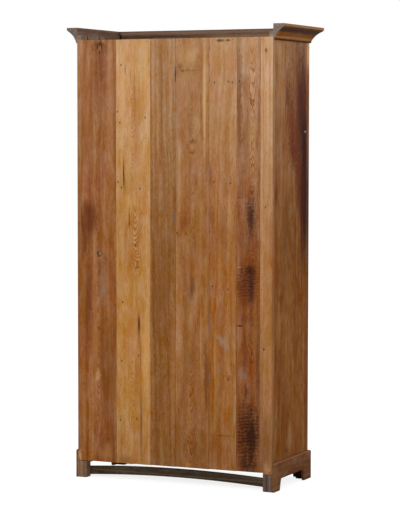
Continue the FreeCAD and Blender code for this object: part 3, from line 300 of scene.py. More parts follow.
def weathered(add, place, along, colour, seed, look):
    """The colour and relief of one old board: figure, painted light towards the top, darkening towards
    the floor, marks, saw marks and painted shade in the seams.
    """
    look = {**PLAIN, **look}
    base = [*colour, 1]
    # painted light from above pales the board towards the top, and the board darkens towards the floor
    for share, heights, tint in ((look["bleach"], LIT_FROM_ABOVE, TOP_LIGHT_TINT),
                                 (look["foot_darkening"], DARKER_BELOW, DARK_TINT)):
        if share:
            share = add("MapRange SMOOTHSTEP", [along, *heights, 0, share])
            base = add("Mix RGBA", {0: share, 6: base, 7: tint})
    rings_at = place
    for across, up, wide, high, push, dip in look["knots"]:
        rings_at = add("Group", {"Place": rings_at, "Centre": (across, 0, up),
                                 "Reach": (wide, THROUGH, high), "Push": push, "Dip": dip},
                       node_tree=PATTERNS["knots"])
    grown = add("Group", {
        "Place": rings_at, "Seed": [step * seed for step in APART], "Colour": base,
        "Pith across": look["pith"][0], "Pith deep": look["pith"][1],
        **{label: look[label.lower()] for label in GRAIN}}, node_tree=PATTERNS["growth"])
    tone = grown["Colour"]
    for pattern, labels in SPOTS.items():
        for across, up, wide, high, *values in look[pattern]:
            tone = add("Group", {"Colour": tone, "Place": place, "Centre": (across, 0, up),
                                 "Reach": (wide, THROUGH, high), **dict(zip(labels, values))},
                       node_tree=PATTERNS[pattern])
    # painted shade along the seams at the board's two long edges
    if look["edges"]:
        low, high = look["edges"]
        tone = add("Group", {"Colour": tone, "Place": place, "Low": low, "High": high,
                             "Dirt": DARK_TINT}, node_tree=PATTERNS["edges"])
    return tone, grown["Relief"]


# how squarely a face must look along an axis to count as the board's rear, or its end or top
REAR, BARE = (0.8, 0.95), (0.6, 0.9)


def wood(name, colour, seed, lie="XYZ", roughness=0.7, gloss=0.02, ends=None, top=None,
         reverse=None, **look):
    """Old wood. lie names the axes that run across the board's face, through it and along its
    grain, ends and top are the colours of its end grain and bare top edge, and reverse is the
    colour, direction and look of the face that is turned away."""
    material, add, shader = new_material(name)
    where = add("TexCoord")
    place = add("VectorMath SCALE", {0: where["Object"], "Scale": 1000})
    order = ["XYZ".index(axis) for axis in lie]
    parts = add("SeparateXYZ", [place])
    facing = add("SeparateXYZ", [where["Normal"]])
    place = add("CombineXYZ", [parts[axis] for axis in order])
    along = parts[order[2]]
    tone, relief = weathered(add, place, along, colour, seed, look)
    if reverse:
        rear_colour, way, rear_look = reverse
        rear = weathered(add, place, along, rear_colour, seed + 0.5, rear_look)[0]
        share = add("Math MULTIPLY", [facing[order[1]], way])
        share = add("MapRange", [share, *REAR])
        tone = add("Mix RGBA", {0: share, 6: tone, 7: rear})
    if ends or top:
        # bare wood that has gone grey is mottled every 3.6 mm across the grain and 14 mm along it
        grey = mottle(add, place, (1 / 0.28, 1 / 0.28, 1 / 0.07), 4, 0.7)
        grey = add("Math MULTIPLY_ADD", [grey, 2.4, -0.2])
    for bare, axis in ((ends, order[2]), (top, 2)):
        if bare:
            share = facing[axis]
            if axis == order[2]:
                share = add("Math ABSOLUTE", [share])
            share = add("MapRange", [share, *BARE, 0, 0.85])
            tone = add("Mix RGBA", {0: share, 6: tone, 7: add("Gamma", [bare, grey])})
    bump = add("Bump", {"Height": relief, "Strength": 0.5, "Distance": 0.8 * MM})
    plug(shader, {"Roughness": roughness, "Specular IOR Level": gloss, "Base Color": tone,
                  "Normal": bump})
    return material


def dress(material, nodes):
    """Gives one material to all the faces of these CAD nodes."""
    for name in nodes.split():
        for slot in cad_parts[name].material_slots:
            slot.link = "OBJECT"
            slot.material = material


# tarnish comes in patches of 11 mm; the panes waver every 60 mm across and 160 mm up
TARNISH, WAVER = (1000 / 11,) * 3, (1000 / 60, 1000 / 60, 1000 / 160)


def sheen_metal(name, colour, tarnish, roughness, seed):
    """Handled metal: bright where it is rubbed, dull and dark where it has tarnished."""
    material, add, shader = new_material(name)
    spread = add("Mapping", {"Vector": add("TexCoord")["Object"], "Location": (seed, seed, seed),
                             "Scale": TARNISH})
    cloud = add("TexNoise", {"Vector": spread, "Scale": 1, "Detail": 4, "Roughness": 0.55})[0]
    share = add("MapRange", [cloud, 0.4, 0.7, 0.05, 0.7])
    tone = add("Mix RGBA", {0: share, 6: [*colour, 1], 7: tarnish})
    dull = add("MapRange", [cloud, 0.35, 0.7, roughness, min(1, roughness + 0.35)])
    bump = add("Bump", {"Height": cloud, "Strength": 0.25, "Distance": 0.3 * MM})
    plug(shader, {"Metallic": 1, "Base Color": tone, "Roughness": dull, "Normal": bump})
    return material


def old_pane(name, tint):
    """Drawn window glass: clear, faintly green and slightly wavy, and it lets the light in."""
    material, add, shader = new_material(name)
    wave = add("Mapping", {"Vector": add("TexCoord")["Object"], "Scale": WAVER})
    ripple = add("TexNoise", {"Vector": wave, "Scale": 1, "Detail": 1})[0]
    bump = add("Bump", {"Height": ripple, "Strength": 0.4, "Distance": 1.5 * MM})
    plug(shader, {"Base Color": [*tint, 1], "Roughness": 0.02, "IOR": 1.5,
                  "Transmission Weight": 1, "Specular IOR Level": 0.3, "Normal": bump})
    clear = add("BsdfTransparent", {"Color": [*tint, 1]})
    both = add("MixShader", [add("LightPath")["Is Shadow Ray"], shader.outputs[0], clear])
    plug(material.node_tree.nodes["Material Output"], {"Surface": both})
    return material


def tone(label, description, hex_colour):
    """A colour that a user can change."""
    return bpy.props.FloatVectorProperty(name=label, description=description, subtype="COLOR",
                                         size=3, min=0, max=1, default=linear(hex_colour))


def length(label, description, millimetres):
    """A size that a user can change."""
    return bpy.props.FloatProperty(name=label, description=description, subtype="DISTANCE",
                                   unit="LENGTH", min=0, default=millimetres * MM)


class CabinetWoods(bpy.types.PropertyGroup):
    """The colours of the woods."""
    board_1: tone("Board 1", "Reddish brown back board behind the right side", "#8B5630")
    board_2: tone("Board 2", "Pale straw-coloured back board", "#AB7A46")
    board_3: tone("Board 3", "Mid-brown straight-grained back board", "#885A30")
    board_4: tone("Board 4", "Mid-brown back board with the swirl", "#8F5E34")
    board_5: tone("Board 5", "Lighter brown back board", "#925E30")
    board_6: tone("Board 6", "Red-brown back board with the saw marks", "#85522E")
    strip: tone("Strip", "Narrow filling strip beside the left rear post", "#A6744A")
    post_left: tone("Left rear post", "Pale corner post at the left", "#9A6A40")
    post_right: tone("Right rear post", "Corner post at the right", "#8A5A34")
    sides: tone("Sides", "The two side panels", "#77481C")
    inside: tone("Inside", "Shelves, cleats and boards that are kept out of the light", "#8E6840")
    front: tone("Front", "Face frame and doors, waxed", "#74431F")
    cornice: tone("Cornice", "Cornice mouldings", "#7C4C22")
    plinth: tone("Plinth", "Plinth boards", "#684228")
    glue_blocks: tone("Glue blocks", "Rough blocks behind the cornice", "#84705F")
    foot_blocks: tone("Foot blocks", "Rough blocks inside the feet", "#4A3A34")
    stretcher: tone("Stretcher", "Arched rear stretcher", "#463A2D")


class CabinetFittings(bpy.types.PropertyGroup):
    """The colours of the metals, the glass and the floor, and the sizes of the screws."""
    brass: tone("Brass", "Rubbed brass of hinges, bolts and keyhole plate", "#B8924F")
    iron: tone("Iron", "Forged iron of lock, key and nails", "#57524E")
    glass: tone("Glass", "Tint of the panes", "#F1F6F1")
    floor: tone("Floor", "Studio floor", "#E6E6E4")
    screw_radius: length("Screw head", "Radius of a screw head", 2.6)
    screw_height: length("Screw height", "How far a raised screw head stands out", 0.9)
    slot_width: length("Screw slot", "Width of the slot across a screw head", 1.0)


def seen_plainly(add):
    """1 for what the camera sees itself, in a shine or through glass, and 0 for light thrown on."""
    path = add("LightPath")
    seen = add("Math MAXIMUM", [path["Is Camera Ray"], path["Is Glossy Ray"]])
    return add("Math MAXIMUM", [seen, path["Is Transmission Ray"]])


def disc(vertices, radius, **where):
    """Adds a flat disc and opens it for editing, with all of it selected."""
    bpy.ops.object.select_all(action="DESELECT")
    bpy.ops.mesh.primitive_circle_add(vertices=vertices, radius=radius, fill_type="NGON", **where)
    bpy.ops.object.transform_apply(location=True, rotation=True, scale=True)
    bpy.ops.object.mode_set(mode="EDIT")
    bpy.ops.mesh.select_all(action="SELECT")
    return bpy.context.active_object


# soft lamps: place and width in metres, power in watts; each is turned to the cabinet's middle
LAMPS = {"rear_softbox": ((1.2, 6.5, 3.6), 3.2, 190), "left_softbox": ((-5.5, 1.5, 3.2), 2.6, 60),
         "front_softbox": ((-1.5, -6.5, 3.6), 3.2, 190), "right_softbox": ((5.5, -1, 3.2), 2.6, 60)}
MIDDLE = Vector((0, 0, 1))
# the camera, fitted to the photo: place in metres, turn, nod and tilt in degrees, and in
# millimetres the lens and the height of the picture behind it
CAMERA_PLACE, CAMERA_TURN = Vector((-3.81299, 8.17737, 1.55397)), (-24.869, -3.592, 0.057)
LENS, PICTURE = 142.5, 36
# the floor's radius and its rim in metres, how much the camera sees it glow, and how much light the
# white room throws on the cabinet
FLOOR, RIM, GLOW, ROOM = 15, 6, 0.84, 0.62


class CABINET_OT_stage(bpy.types.Operator):
    """Adds the floor, the soft studio light and the camera at the rear left corner"""
    bl_idname = "cabinet.stage"
    bl_label = "Floor, light and camera"

    def execute(self, context):
        scene = context.scene
        floor = disc(vertices=96, radius=FLOOR)
        floor.name = "studio_floor"
        bpy.ops.mesh.inset(thickness=RIM)
        bpy.ops.object.mode_set(mode="OBJECT")
        material, add, shader = new_material("Matt white studio floor")
        plain = add("BsdfDiffuse", [[*scene.cabinet_fittings.floor, 1]])
        faint = add("BsdfDiffuse", ["#959595"])
        glow = add("Emission", ["#FFFFFF", GLOW])
        both = add("MixShader", [seen_plainly(add), plain, add("AddShader", [faint, glow])])
        material.node_tree.nodes.remove(shader)
        plug(material.node_tree.nodes["Material Output"], {"Surface": both})
        floor.data.materials.append(material)

        scene.world = bpy.data.worlds.new("White studio")
        scene.world.use_nodes = True
        tree = scene.world.node_tree
        add = partial(add_node, tree)
        level = add("MapRange", {0: seen_plainly(add), 3: ROOM, 4: 1})
        plug(tree.nodes["Background"], {"Color": "#FFFFFF", "Strength": level})

        for label, (place, size, power) in LAMPS.items():
            lamp = bpy.data.lights.new(label, "AREA")
            lamp.shape = "DISK"
            lamp.size = size
            lamp.energy = power
            holder = bpy.data.objects.new(label, lamp)
            holder.location = place
            aim = MIDDLE - Vector(place)
            holder.rotation_euler = aim.to_track_quat("-Z", "Y").to_euler()
            scene.collection.objects.link(holder)

        camera = bpy.data.cameras.new("studio_camera")
        camera.sensor_fit = "VERTICAL"
        camera.sensor_height = PICTURE
        camera.lens = LENS
        holder = bpy.data.objects.new("studio_camera", camera)
        yaw, pitch, roll = (math.radians(angle) for angle in CAMERA_TURN)
        ahead = Vector((math.cos(pitch) * math.sin(-yaw), -math.cos(pitch) * math.cos(yaw),
                        math.sin(pitch)))
        turn = ahead.to_track_quat("-Z", "Y").to_matrix() @ Matrix.Rotation(roll, 3, "Z")
        holder.matrix_world = Matrix.Translation(CAMERA_PLACE) @ turn.to_4x4()
        scene.collection.objects.link(holder)
        scene.camera = holder
        scene.view_settings.view_transform = "Standard"
        return {"FINISHED"}


# what has happened to the wood: the colours of its marks
HOLE, TAR, SPLIT, PLUM, SHADE = "#1E120C", "#2A1710", "#40210F", "#43241F", "#4C2D1A"
MAROON, OXBLOOD, UMBER, RUST, AMBER = "#3C1A12", "#5A2C18", "#6A3D1C", "#7A3E16", "#8E5726"
HONEY, STRAW, PALE, GREY, FILLER = "#AE7A45", "#C69459", "#D0A472", "#8E8478", "#5E6266"
RUSSET, WINE = "#5A220C", "#320C08"


def nail_holes(*places):
    """Small dark holes and rusty nail marks at these places across and along a board."""
    return [(across, up, 4, 6, "#33201A", 0.85, 0.5, 0.2) for across, up in places]


# knots: across, along, half width, half height, push aside, swelling
# arches: across, along, half width, half height, curve (closed below if above 0), pitch, strength
# marks: across, along, half width, half height, colour and strength, and then raggedness, which
# is 1 unless it is given, and core share, which is 0 unless it is given
# saws: across, along, half width, half height, colour, strength, pitch
BACK = {
    "back_board_1": dict(
        pith=(330, 70), lean=0.01, figure=0.12, streak=0.2, bleach=0.1, foot_darkening=0.1, edges=(277, 452.5),
        knots=((364, 1003, 16, 30, 9, 14),),
        arches=((366, 760, 30, 260, 2.6, 46, 0.2), (364, 420, 34, 330, 2.6, 48, 0.22),
                (380, 1640, 26, 200, -3, 40, 0.12)),
        marks=[
            (372, 1790, 34, 190, OXBLOOD, 0.35), (348, 1850, 14, 110, PLUM, 0.3, 0.8),
            (428, 1650, 26, 330, AMBER, 0.4), (300, 1600, 24, 420, HONEY, 0.2),
            (360, 1912, 50, 34, UMBER, 0.55, 1.2, 0.1), (358, 1926, 24, 18, SPLIT, 0.8, 0.9, 0.1),
            (356, 1908, 9, 14, GREY, 0.4, 1.2, 0.1), (368, 1914, 3, 16, TAR, 0.85, 0.6, 0.3),
            (347, 1912, 3, 18, TAR, 0.85, 0.6, 0.3), (357, 1890, 4, 8, TAR, 0.7, 0.8, 0.2),
            (418, 1160, 50, 76, OXBLOOD, 0.7, 0.7, 0.5), (440, 1060, 30, 90, OXBLOOD, 0.6, 0.8, 0.3),
            (416, 790, 17, 240, OXBLOOD, 0.6, 0.8), (446, 870, 12, 240, AMBER, 0.5, 0.8, 0.1),
            (380, 620, 16, 330, HONEY, 0.3), (316, 480, 46, 300, UMBER, 0.5, 0.9, 0.1),
            (350, 560, 12, 200, UMBER, 0.4), (440, 300, 16, 260, HONEY, 0.3),
            (345, 860, 30, 110, GREY, 0.2, 1.2), (340, 120, 60, 40, HONEY, 0.3, 1.4),
            (361, 1003, 15, 15, SPLIT, 0.85, 1.2, 0.2), (358, 1004, 6, 7, "#8F867B", 0.8, 1, 0.2),
            (368, 462, 14, 22, PALE, 0.35, 2.6)]),
    "back_board_2": dict(
        pith=(186, 42), lean=0, figure=0.07, streak=0.13, bleach=0.2, foot_darkening=0.1, edges=(108.5, 277),
        knots=((173, 957, 14, 26, 8, 10),),
        arches=((184, 1110, 48, 130, 12, 27, 0.5), (178, 985, 44, 80, 12, 22, 0.36),
                (196, 1560, 34, 300, 5, 21, 0.25), (196, 400, 40, 260, -6, 24, 0.2)),
        marks=[
            (240, 1360, 3.4, 74, SPLIT, 0.9, 0.25, 0.3), (234, 1318, 2.6, 44, SPLIT, 0.7, 0.3, 0.2),
            (165, 700, 5.5, 48, SPLIT, 0.95, 0.3, 0.3), (164, 640, 3, 60, SPLIT, 0.6, 0.5, 0.1),
            (157, 560, 3, 90, UMBER, 0.7, 0.6, 0.1), (155, 250, 7, 190, UMBER, 0.75, 0.5, 0.1),
            (213, 1175, 2.6, 60, SPLIT, 0.6, 0.4, 0.1), (212, 1145, 4, 22, SPLIT, 0.6, 0.5, 0.1),
            (232, 1060, 8, 120, AMBER, 0.4, 0.7), (186, 1690, 6, 130, AMBER, 0.5, 0.7),
            (206, 1780, 4, 60, AMBER, 0.5, 0.7), (232, 1812, 4, 22, UMBER, 0.6, 0.6, 0.1),
            (178, 1500, 20, 330, AMBER, 0.25, 0.9), (250, 1700, 18, 230, PALE, 0.4, 0.8),
            (204, 1310, 34, 60, AMBER, 0.3), (173, 960, 7, 17, UMBER, 0.7, 0.5, 0.1),
            (130, 1800, 14, 150, STRAW, 0.4, 0.9), (130, 560, 20, 170, STRAW, 0.5, 0.7, 0.1),
            (192, 1045, 26, 7, AMBER, 0.5, 0.6), (230, 90, 60, 26, UMBER, 0.5)
        ] + nail_holes((252, 1833), (258, 1582), (269, 1630), (160, 1293), (251, 1297), (268, 1321),
                       (250, 532), (257, 269), (176, 278), (245, 793), (134, 1603), (167, 560))),
    "back_board_3": dict(
        pith=(260, 120), lean=0.01, figure=0.1, streak=0.17, fibre=0.15, bleach=0.17, foot_darkening=0.06,
        edges=(-13, 108.5),
        marks=[
            (40, 950, 60, 420, UMBER, 0.3), (75, 700, 25, 500, UMBER, 0.3),
            (56, 1650, 5, 260, UMBER, 0.4, 0.6), (40, 1350, 7, 300, UMBER, 0.35, 0.7),
            (92, 1700, 8, 300, HONEY, 0.35, 0.8), (70, 1560, 4, 240, HONEY, 0.4, 0.6),
            (-11, 1808, 4, 20, FILLER, 0.9, 0.4, 0.4), (-11, 1780, 3, 30, TAR, 0.9, 0.3, 0.4),
            (-10, 1690, 3, 40, GREY, 0.6, 1, 0.2), (-10, 1580, 3, 60, GREY, 0.5, 1.4, 0.1),
            (-11, 1172, 3.4, 34, FILLER, 0.9, 0.6, 0.3), (26, 1090, 10, 26, UMBER, 0.5, 1.2),
            (74, 330, 26, 200, UMBER, 0.3, 1.4), (40, 470, 10, 8, SHADE, 0.35, 1.5),
            (0, 420, 14, 330, HONEY, 0.2)]),
    "back_board_4": dict(
        pith=(-84, 46), lean=0, figure=0.1, streak=0.12, ripple=4, bleach=0.16, foot_darkening=0.2,
        edges=(-172, -13), knots=((-90, 1476, 24, 30, 20, 26), (-110, 1330, 20, 60, 8, 8)),
        arches=((-82, 400, 60, 150, 6, 30, 0.22), (-88, 200, 80, 130, 9, 34, 0.24),
                (-96, 1200, 44, 200, 6, 30, 0.14), (-90, 1560, 50, 120, -9, 28, 0.14)),
        marks=[
            (-17, 1450, 8, 450, UMBER, 0.3, 0.6, 0.2), (-15, 1806, 3, 22, FILLER, 0.8, 0.5, 0.3),
            (-46, 1804, 9, 8, SPLIT, 0.7, 0.7, 0.1), (-34, 1824, 12, 14, SPLIT, 0.35, 1.4),
            (-90, 1806, 52, 3, SHADE, 0.4, 0.5), (-76, 1870, 60, 50, PALE, 0.25, 0.9),
            (-150, 1690, 8, 330, PALE, 0.6, 0.6, 0.1), (-134, 1660, 5, 260, SHADE, 0.3, 0.6),
            (-84, 1600, 16, 120, UMBER, 0.4), (-90, 1500, 26, 12, UMBER, 0.45, 0.8),
            (-66, 1480, 8, 20, UMBER, 0.5, 0.7), (-90, 1452, 24, 6, UMBER, 0.5, 0.6),
            (-92, 1476, 13, 11, HONEY, 0.6, 0.6, 0.2), (-110, 1340, 10, 90, RUST, 0.35, 0.8),
            (-56, 1150, 24, 30, RUST, 0.75, 0.9, 0.1), (-80, 1160, 4, 16, UMBER, 0.6, 0.6, 0.1),
            (-90, 860, 17, 62, SHADE, 0.65, 0.8), (-100, 1060, 22, 90, UMBER, 0.35, 0.9),
            (-109, 700, 3, 38, SHADE, 0.55, 0.5), (-160, 480, 12, 180, OXBLOOD, 0.65, 0.9, 0.1),
            (-166, 900, 6, 200, RUST, 0.5, 0.8), (-132, 1000, 8, 330, HONEY, 0.35, 0.8),
            (-134, 640, 5, 180, STRAW, 0.35, 0.6), (-80, 560, 50, 60, UMBER, 0.3)
        ] + nail_holes((-20, 1103), (-61, 1102))),
    "back_board_5": dict(
        pith=(-420, 90), lean=0.015, figure=0.09, streak=0.12, bleach=0.27, foot_darkening=0.12,
        edges=(-303, -172), knots=((-266, 479, 12, 18, 8, 8),),
        marks=[
            (-232, 1100, 56, 110, RUST, 0.4, 1, 0.1), (-180, 1345, 9, 60, RUST, 0.6, 1, 0.1),
            (-190, 1180, 18, 60, RUST, 0.35, 1.2), (-185, 1500, 10, 240, RUST, 0.2),
            (-174, 1900, 3, 14, FILLER, 0.8, 0.6, 0.3), (-174, 1828, 3.4, 12, FILLER, 0.8, 0.6, 0.3),
            (-174, 1766, 3.4, 14, FILLER, 0.8, 0.6, 0.3), (-174, 1370, 3.4, 34, FILLER, 0.8, 0.9, 0.2),
            (-174, 1175, 3.6, 56, FILLER, 0.85, 0.8, 0.2), (-174, 1112, 4, 10, PLUM, 0.8, 0.6, 0.2),
            (-174, 865, 3.4, 40, FILLER, 0.7, 0.9, 0.2), (-174, 720, 4, 60, FILLER, 0.8, 0.9, 0.2),
            (-174, 480, 5, 26, FILLER, 0.8, 0.7, 0.2), (-174, 355, 3.4, 16, FILLER, 0.7, 0.7, 0.2),
            (-292, 316, 6, 52, GREY, 0.55, 1.2), (-296, 1760, 4, 26, FILLER, 0.5, 0.9, 0.1),
            (-222, 654, 14, 14, GREY, 0.45, 0.9), (-238, 636, 18, 22, GREY, 0.5, 0.9, 0.1),
            (-256, 614, 16, 18, GREY, 0.4), (-214, 642, 5, 8, UMBER, 0.5, 0.8),
            (-264, 478, 9, 8, UMBER, 0.7, 0.9, 0.1), (-250, 492, 20, 4, UMBER, 0.35, 0.6),
            (-238, 231, 66, 3.4, SHADE, 0.6, 0.4), (-192, 200, 22, 40, RUST, 0.5),
            (-238, 160, 66, 66, RUST, 0.25, 0.7, 0.2), (-224, 1932, 22, 8, SPLIT, 0.8, 0.9, 0.1),
            (-262, 1932, 12, 6, SPLIT, 0.7, 0.9, 0.1), (-285, 900, 8, 260, HONEY, 0.35, 0.8),
            (-200, 560, 10, 130, STRAW, 0.3, 0.8)
        ] + nail_holes((-197, 1753), (-262, 1756), (-281, 1753), (-195, 1327), (-273, 1322),
                       (-189, 877), (-263, 867))),
    "back_board_6": dict(
        pith=(-372, 30), lean=0, figure=0.1, streak=0.16, ripple=7, bleach=0.36, foot_darkening=0.1,
        edges=(-411.5, -303), knots=((-376, 1640, 10, 40, 6, 8),),
        arches=((-374, 1780, 58, 230, 2.8, 52, 0.5), (-376, 1520, 54, 200, -3, 46, 0.5),
                (-376, 1340, 44, 120, 4, 34, 0.3), (-376, 1010, 46, 130, 4, 32, 0.2),
                (-372, 640, 46, 130, 5, 32, 0.22)),
        marks=[
            (-310, 1800, 18, 200, OXBLOOD, 0.5, 0.8, 0.2), (-314, 1590, 16, 150, UMBER, 0.6, 0.8, 0.2),
            (-342, 1520, 20, 190, UMBER, 0.5, 0.9, 0.1), (-318, 1330, 16, 120, UMBER, 0.35, 0.9),
            (-336, 1740, 24, 60, UMBER, 0.45, 1.1), (-372, 1850, 26, 150, HONEY, 0.35, 0.9),
            (-376, 1500, 26, 200, HONEY, 0.3, 0.9), (-405, 1620, 7, 120, UMBER, 0.65, 0.5, 0.1),
            (-396, 1500, 8, 60, UMBER, 0.5, 0.6), (-356, 1290, 54, 60, RUST, 0.4, 0.9, 0.1),
            (-316, 1262, 16, 2.6, SPLIT, 0.7, 0.4, 0.2), (-368, 1190, 26, 96, PLUM, 0.8, 1.4, 0.1),
            (-356, 1228, 14, 2, GREY, 0.55, 0.6, 0.1), (-370, 1180, 3, 60, TAR, 0.6, 0.8),
            (-356, 1080, 56, 60, OXBLOOD, 0.35, 1.1, 0.1), (-356, 880, 58, 115, RUST, 0.65, 0.6, 0.3),
            (-350, 900, 40, 105, OXBLOOD, 0.6, 1.2, 0.1), (-372, 880, 17, 98, PLUM, 0.9, 0.9, 0.1),
            (-368, 950, 26, 22, TAR, 0.7, 1.2), (-315, 963, 9, 3, GREY, 0.9, 0.6, 0.2),
            (-318, 711, 17, 4.4, TAR, 0.85, 0.4, 0.3), (-392, 860, 14, 60, AMBER, 0.4, 1.2),
            (-345, 560, 12, 110, SHADE, 0.4, 0.8), (-402, 520, 10, 160, SHADE, 0.4, 0.8, 0.1),
            (-330, 500, 26, 30, GREY, 0.25, 1.2), (-357, 740, 52, 26, OXBLOOD, 0.4, 0.9, 0.1),
            (-352, 240, 56, 160, OXBLOOD, 0.6, 0.6, 0.3), (-372, 226, 36, 150, TAR, 0.8, 1.5, 0.1),
            (-354, 110, 40, 40, TAR, 0.7), (-314, 150, 9, 100, RUST, 0.7, 0.7, 0.1),
            (-408, 200, 3, 80, FILLER, 0.3, 0.9), (-348, 425, 14, 30, TAR, 0.6, 1.2)
        ] + nail_holes((-313, 1757)),
        saws=((-352, 235, 96, 200, TAR, 0.95, 15), (-352, 890, 92, 125, TAR, 0.7, 13),
              (-366, 1185, 56, 110, TAR, 0.55, 10))),
    "back_strip": dict(
        pith=(-500, 60), figure=0.07, streak=0.1, bleach=0.2, foot_darkening=0.4, edges=(-427.5, -411.5),
        marks=[
            (-418, 1600, 5, 330, PALE, 0.2, 0.8, 0.1), (-420, 420, 14, 380, UMBER, 0.45, 0.6, 0.3)]),
    "rear_post_left": dict(
        pith=(-560, 60), figure=0.07, streak=0.12, bleach=0.42, foot_darkening=0.42,
        marks=[
            (-437, 1886, 7, 12, "#4C4A3C", 0.9, 0.5, 0.2), (-436, 1222, 4, 7, SPLIT, 0.8, 0.5, 0.1),
            (-436, 1130, 3, 5, SPLIT, 0.6, 0.5, 0.1), (-430, 614, 7, 6, TAR, 0.9, 0.5, 0.1),
            (-424, 614, 8, 3, SPLIT, 0.6, 0.5, 0.1), (-436, 1870, 3, 60, UMBER, 0.4, 0.8),
            (-470, 560, 4, 700, UMBER, 0.4, 0.5, 0.4), (-448, 250, 20, 130, UMBER, 0.3),
            (-470, 1640, 2, 480, UMBER, 0.5, 0.3, 0.6), (-450, 96, 17, 30, PALE, 0.3, 1.5),
            (-440, 900, 8, 300, HONEY, 0.3, 0.8), (-455, 1750, 5, 200, RUST, 0.25, 0.8),
            (-446, 1600, 4, 330, PALE, 0.3, 0.8)]),
    "rear_post_right": dict(
        pith=(560, 60), figure=0.07, streak=0.11, bleach=0.15, foot_darkening=0.1,
        marks=[
            (462, 1000, 5, 900, UMBER, 0.45, 0.8), (460, 100, 12, 30, PALE, 0.5, 1.2)]),
}

# marks on the left side panel, by Y and Z; the pale marks near the top at Y 165 and Y -160 are painted
# light from above
LEFT_SIDE = dict(
    pith=(300, 110), figure=0.08, streak=0.16, blotch=0.14, bleach=0.16, foot_darkening=0.08,
    marks=[
        (-60, 1660, 66, 300, RUSSET, 0.8, 0.7, 0.1), (-98, 1620, 58, 300, WINE, 0.75, 0.6, 0.2),
        (-128, 1330, 32, 400, "#260603", 0.95, 0.3, 0.55), (-122, 1520, 30, 230, WINE, 0.5, 0.8),
        (-94, 1290, 30, 170, RUSSET, 0.6), (50, 1640, 46, 230, RUSSET, 0.7, 2.2, 0.1),
        (10, 1580, 32, 150, RUSSET, 0.6, 1, 0.3), (16, 1530, 34, 130, RUSSET, 0.7, 1.8, 0.2),
        (-30, 1450, 36, 150, RUSSET, 0.6, 1, 0.3), (-66, 1330, 32, 170, RUSSET, 0.8, 0.8, 0.4),
        (-98, 1200, 20, 280, WINE, 0.75, 0.7, 0.4), (-104, 1050, 15, 130, RUSSET, 0.6, 0.7, 0.3),
        (-160, 1880, 8, 80, "#B58A62", 0.9, 0.6, 0.5), (203, 1120, 7, 500, RUST, 0.55, 0.8, 0.2),
        (190, 1290, 26, 60, RUST, 0.6, 0.8, 0.4), (-112, 1600, 42, 240, WINE, 0.4, 0.5, 0.3),
        (-125, 1720, 34, 150, RUSSET, 0.6, 0.5, 0.3), (60, 690, 56, 300, HONEY, 0.2),
        (70, 1650, 110, 420, "#96521E", 0.2, 0.8, 0.2), (165, 1890, 50, 60, PALE, 0.3),
        (160, 700, 44, 110, HONEY, 0.25), (150, 1310, 40, 90, UMBER, 0.4),
        (72, 1690, 26, 60, SHADE, 0.6, 2.2), (0, 1460, 50, 80, RUSSET, 0.7, 2),
        (-134, 1543, 15, 5, GREY, 0.85, 0.8, 0.1), (196, 1275, 24, 46, RUSSET, 0.6, 1, 0.2),
        (198, 990, 18, 200, RUST, 0.65, 1, 0.1), (188, 483, 34, 130, RUST, 0.5),
        (196, 1500, 10, 130, RUST, 0.3), (31, 212, 27, 74, PALE, 0.15, 0.9),
        (56, 157, 40, 10, SHADE, 0.6, 1.2), (140, 400, 30, 160, UMBER, 0.4, 1.2),
        (-30, 800, 16, 22, SHADE, 0.4, 1.6), (70, 780, 8, 30, RUSSET, 0.4, 1.4),
        (110, 1340, 60, 90, HONEY, 0.2), (160, 1750, 60, 160, HONEY, 0.3, 0.9),
        (80, 1080, 30, 260, SHADE, 0.25, 1.2), (-20, 1080, 20, 130, SHADE, 0.25, 1.3),
        (-60, 300, 90, 200, AMBER, 0.25), (20, 190, 40, 60, "#8E6A48", 0.25, 1, 0.2)])

# marks on the front, by X and Z: darker where hands reached for the knob and key, and at the foot
HANDLED = [
    (30, 1060, 34, 130, SHADE, 0.55, 0.9, 0.1), (-26, 1030, 26, 150, SHADE, 0.35),
    (0, 150, 470, 40, SPLIT, 0.35), (-388, 640, 12, 160, AMBER, 0.3, 0.9),
    (389, 1300, 14, 240, AMBER, 0.3, 0.9), (389, 420, 18, 120, UMBER, 0.35)]


class CABINET_OT_back(bpy.types.Operator):
    """Finishes the back boards, the strip and the rear posts"""
    bl_idname = "cabinet.back"
    bl_label = "Back boards and posts"

    def execute(self, context):
        tones = context.scene.cabinet_woods
        # softwood, sawn by hand and left bare: dull, with growth lines, torn fibre, old stains,
        # painted shade in the seams, painted light towards the top and darker towards the floor; the
        # faces inside have stayed clean and even, with a little painted light towards the top
        for number, (node, look) in enumerate(BACK.items(), 1):
            board = getattr(tones, node.replace("back_", "").replace("rear_", ""))
            clean = (tones.inside, -1, dict(pith=look["pith"], bleach=0.1))
            dress(wood("Bare sawn softwood, %s" % node.replace("_", " "), board, number,
                       reverse=clean, **look), node)
        return {"FINISHED"}


class CABINET_OT_sides(bpy.types.Operator):
    """Finishes the two side panels"""
    bl_idname = "cabinet.sides"
    bl_label = "Side panels"

    def execute(self, context):
        tones = context.scene.cabinet_woods
        # softwood, planed, stained and waxed: long soft streaks, dark red where the stain ran, and
        # painted light towards the top
        dress(wood("Stained and waxed softwood, left side", tones.sides, 11, "YXZ",
                   reverse=(tones.inside, 1, {}), **LEFT_SIDE), "side_panel_left")
        dress(wood("Stained and waxed softwood, right side", tones.sides, 12, "YXZ", bleach=0.15,
                   reverse=(tones.inside, -1, {}), arches=((30, 900, 70, 700, -5, 17, 0.3),),
                   marks=((-120, 1500, 30, 300, OXBLOOD, 0.5, 0.9, 0.1),
                          (60, 300, 90, 160, UMBER, 0.35),
                          (190, 1100, 20, 400, RUST, 0.4, 0.9, 0.1))), "side_panel_right")
        return {"FINISHED"}


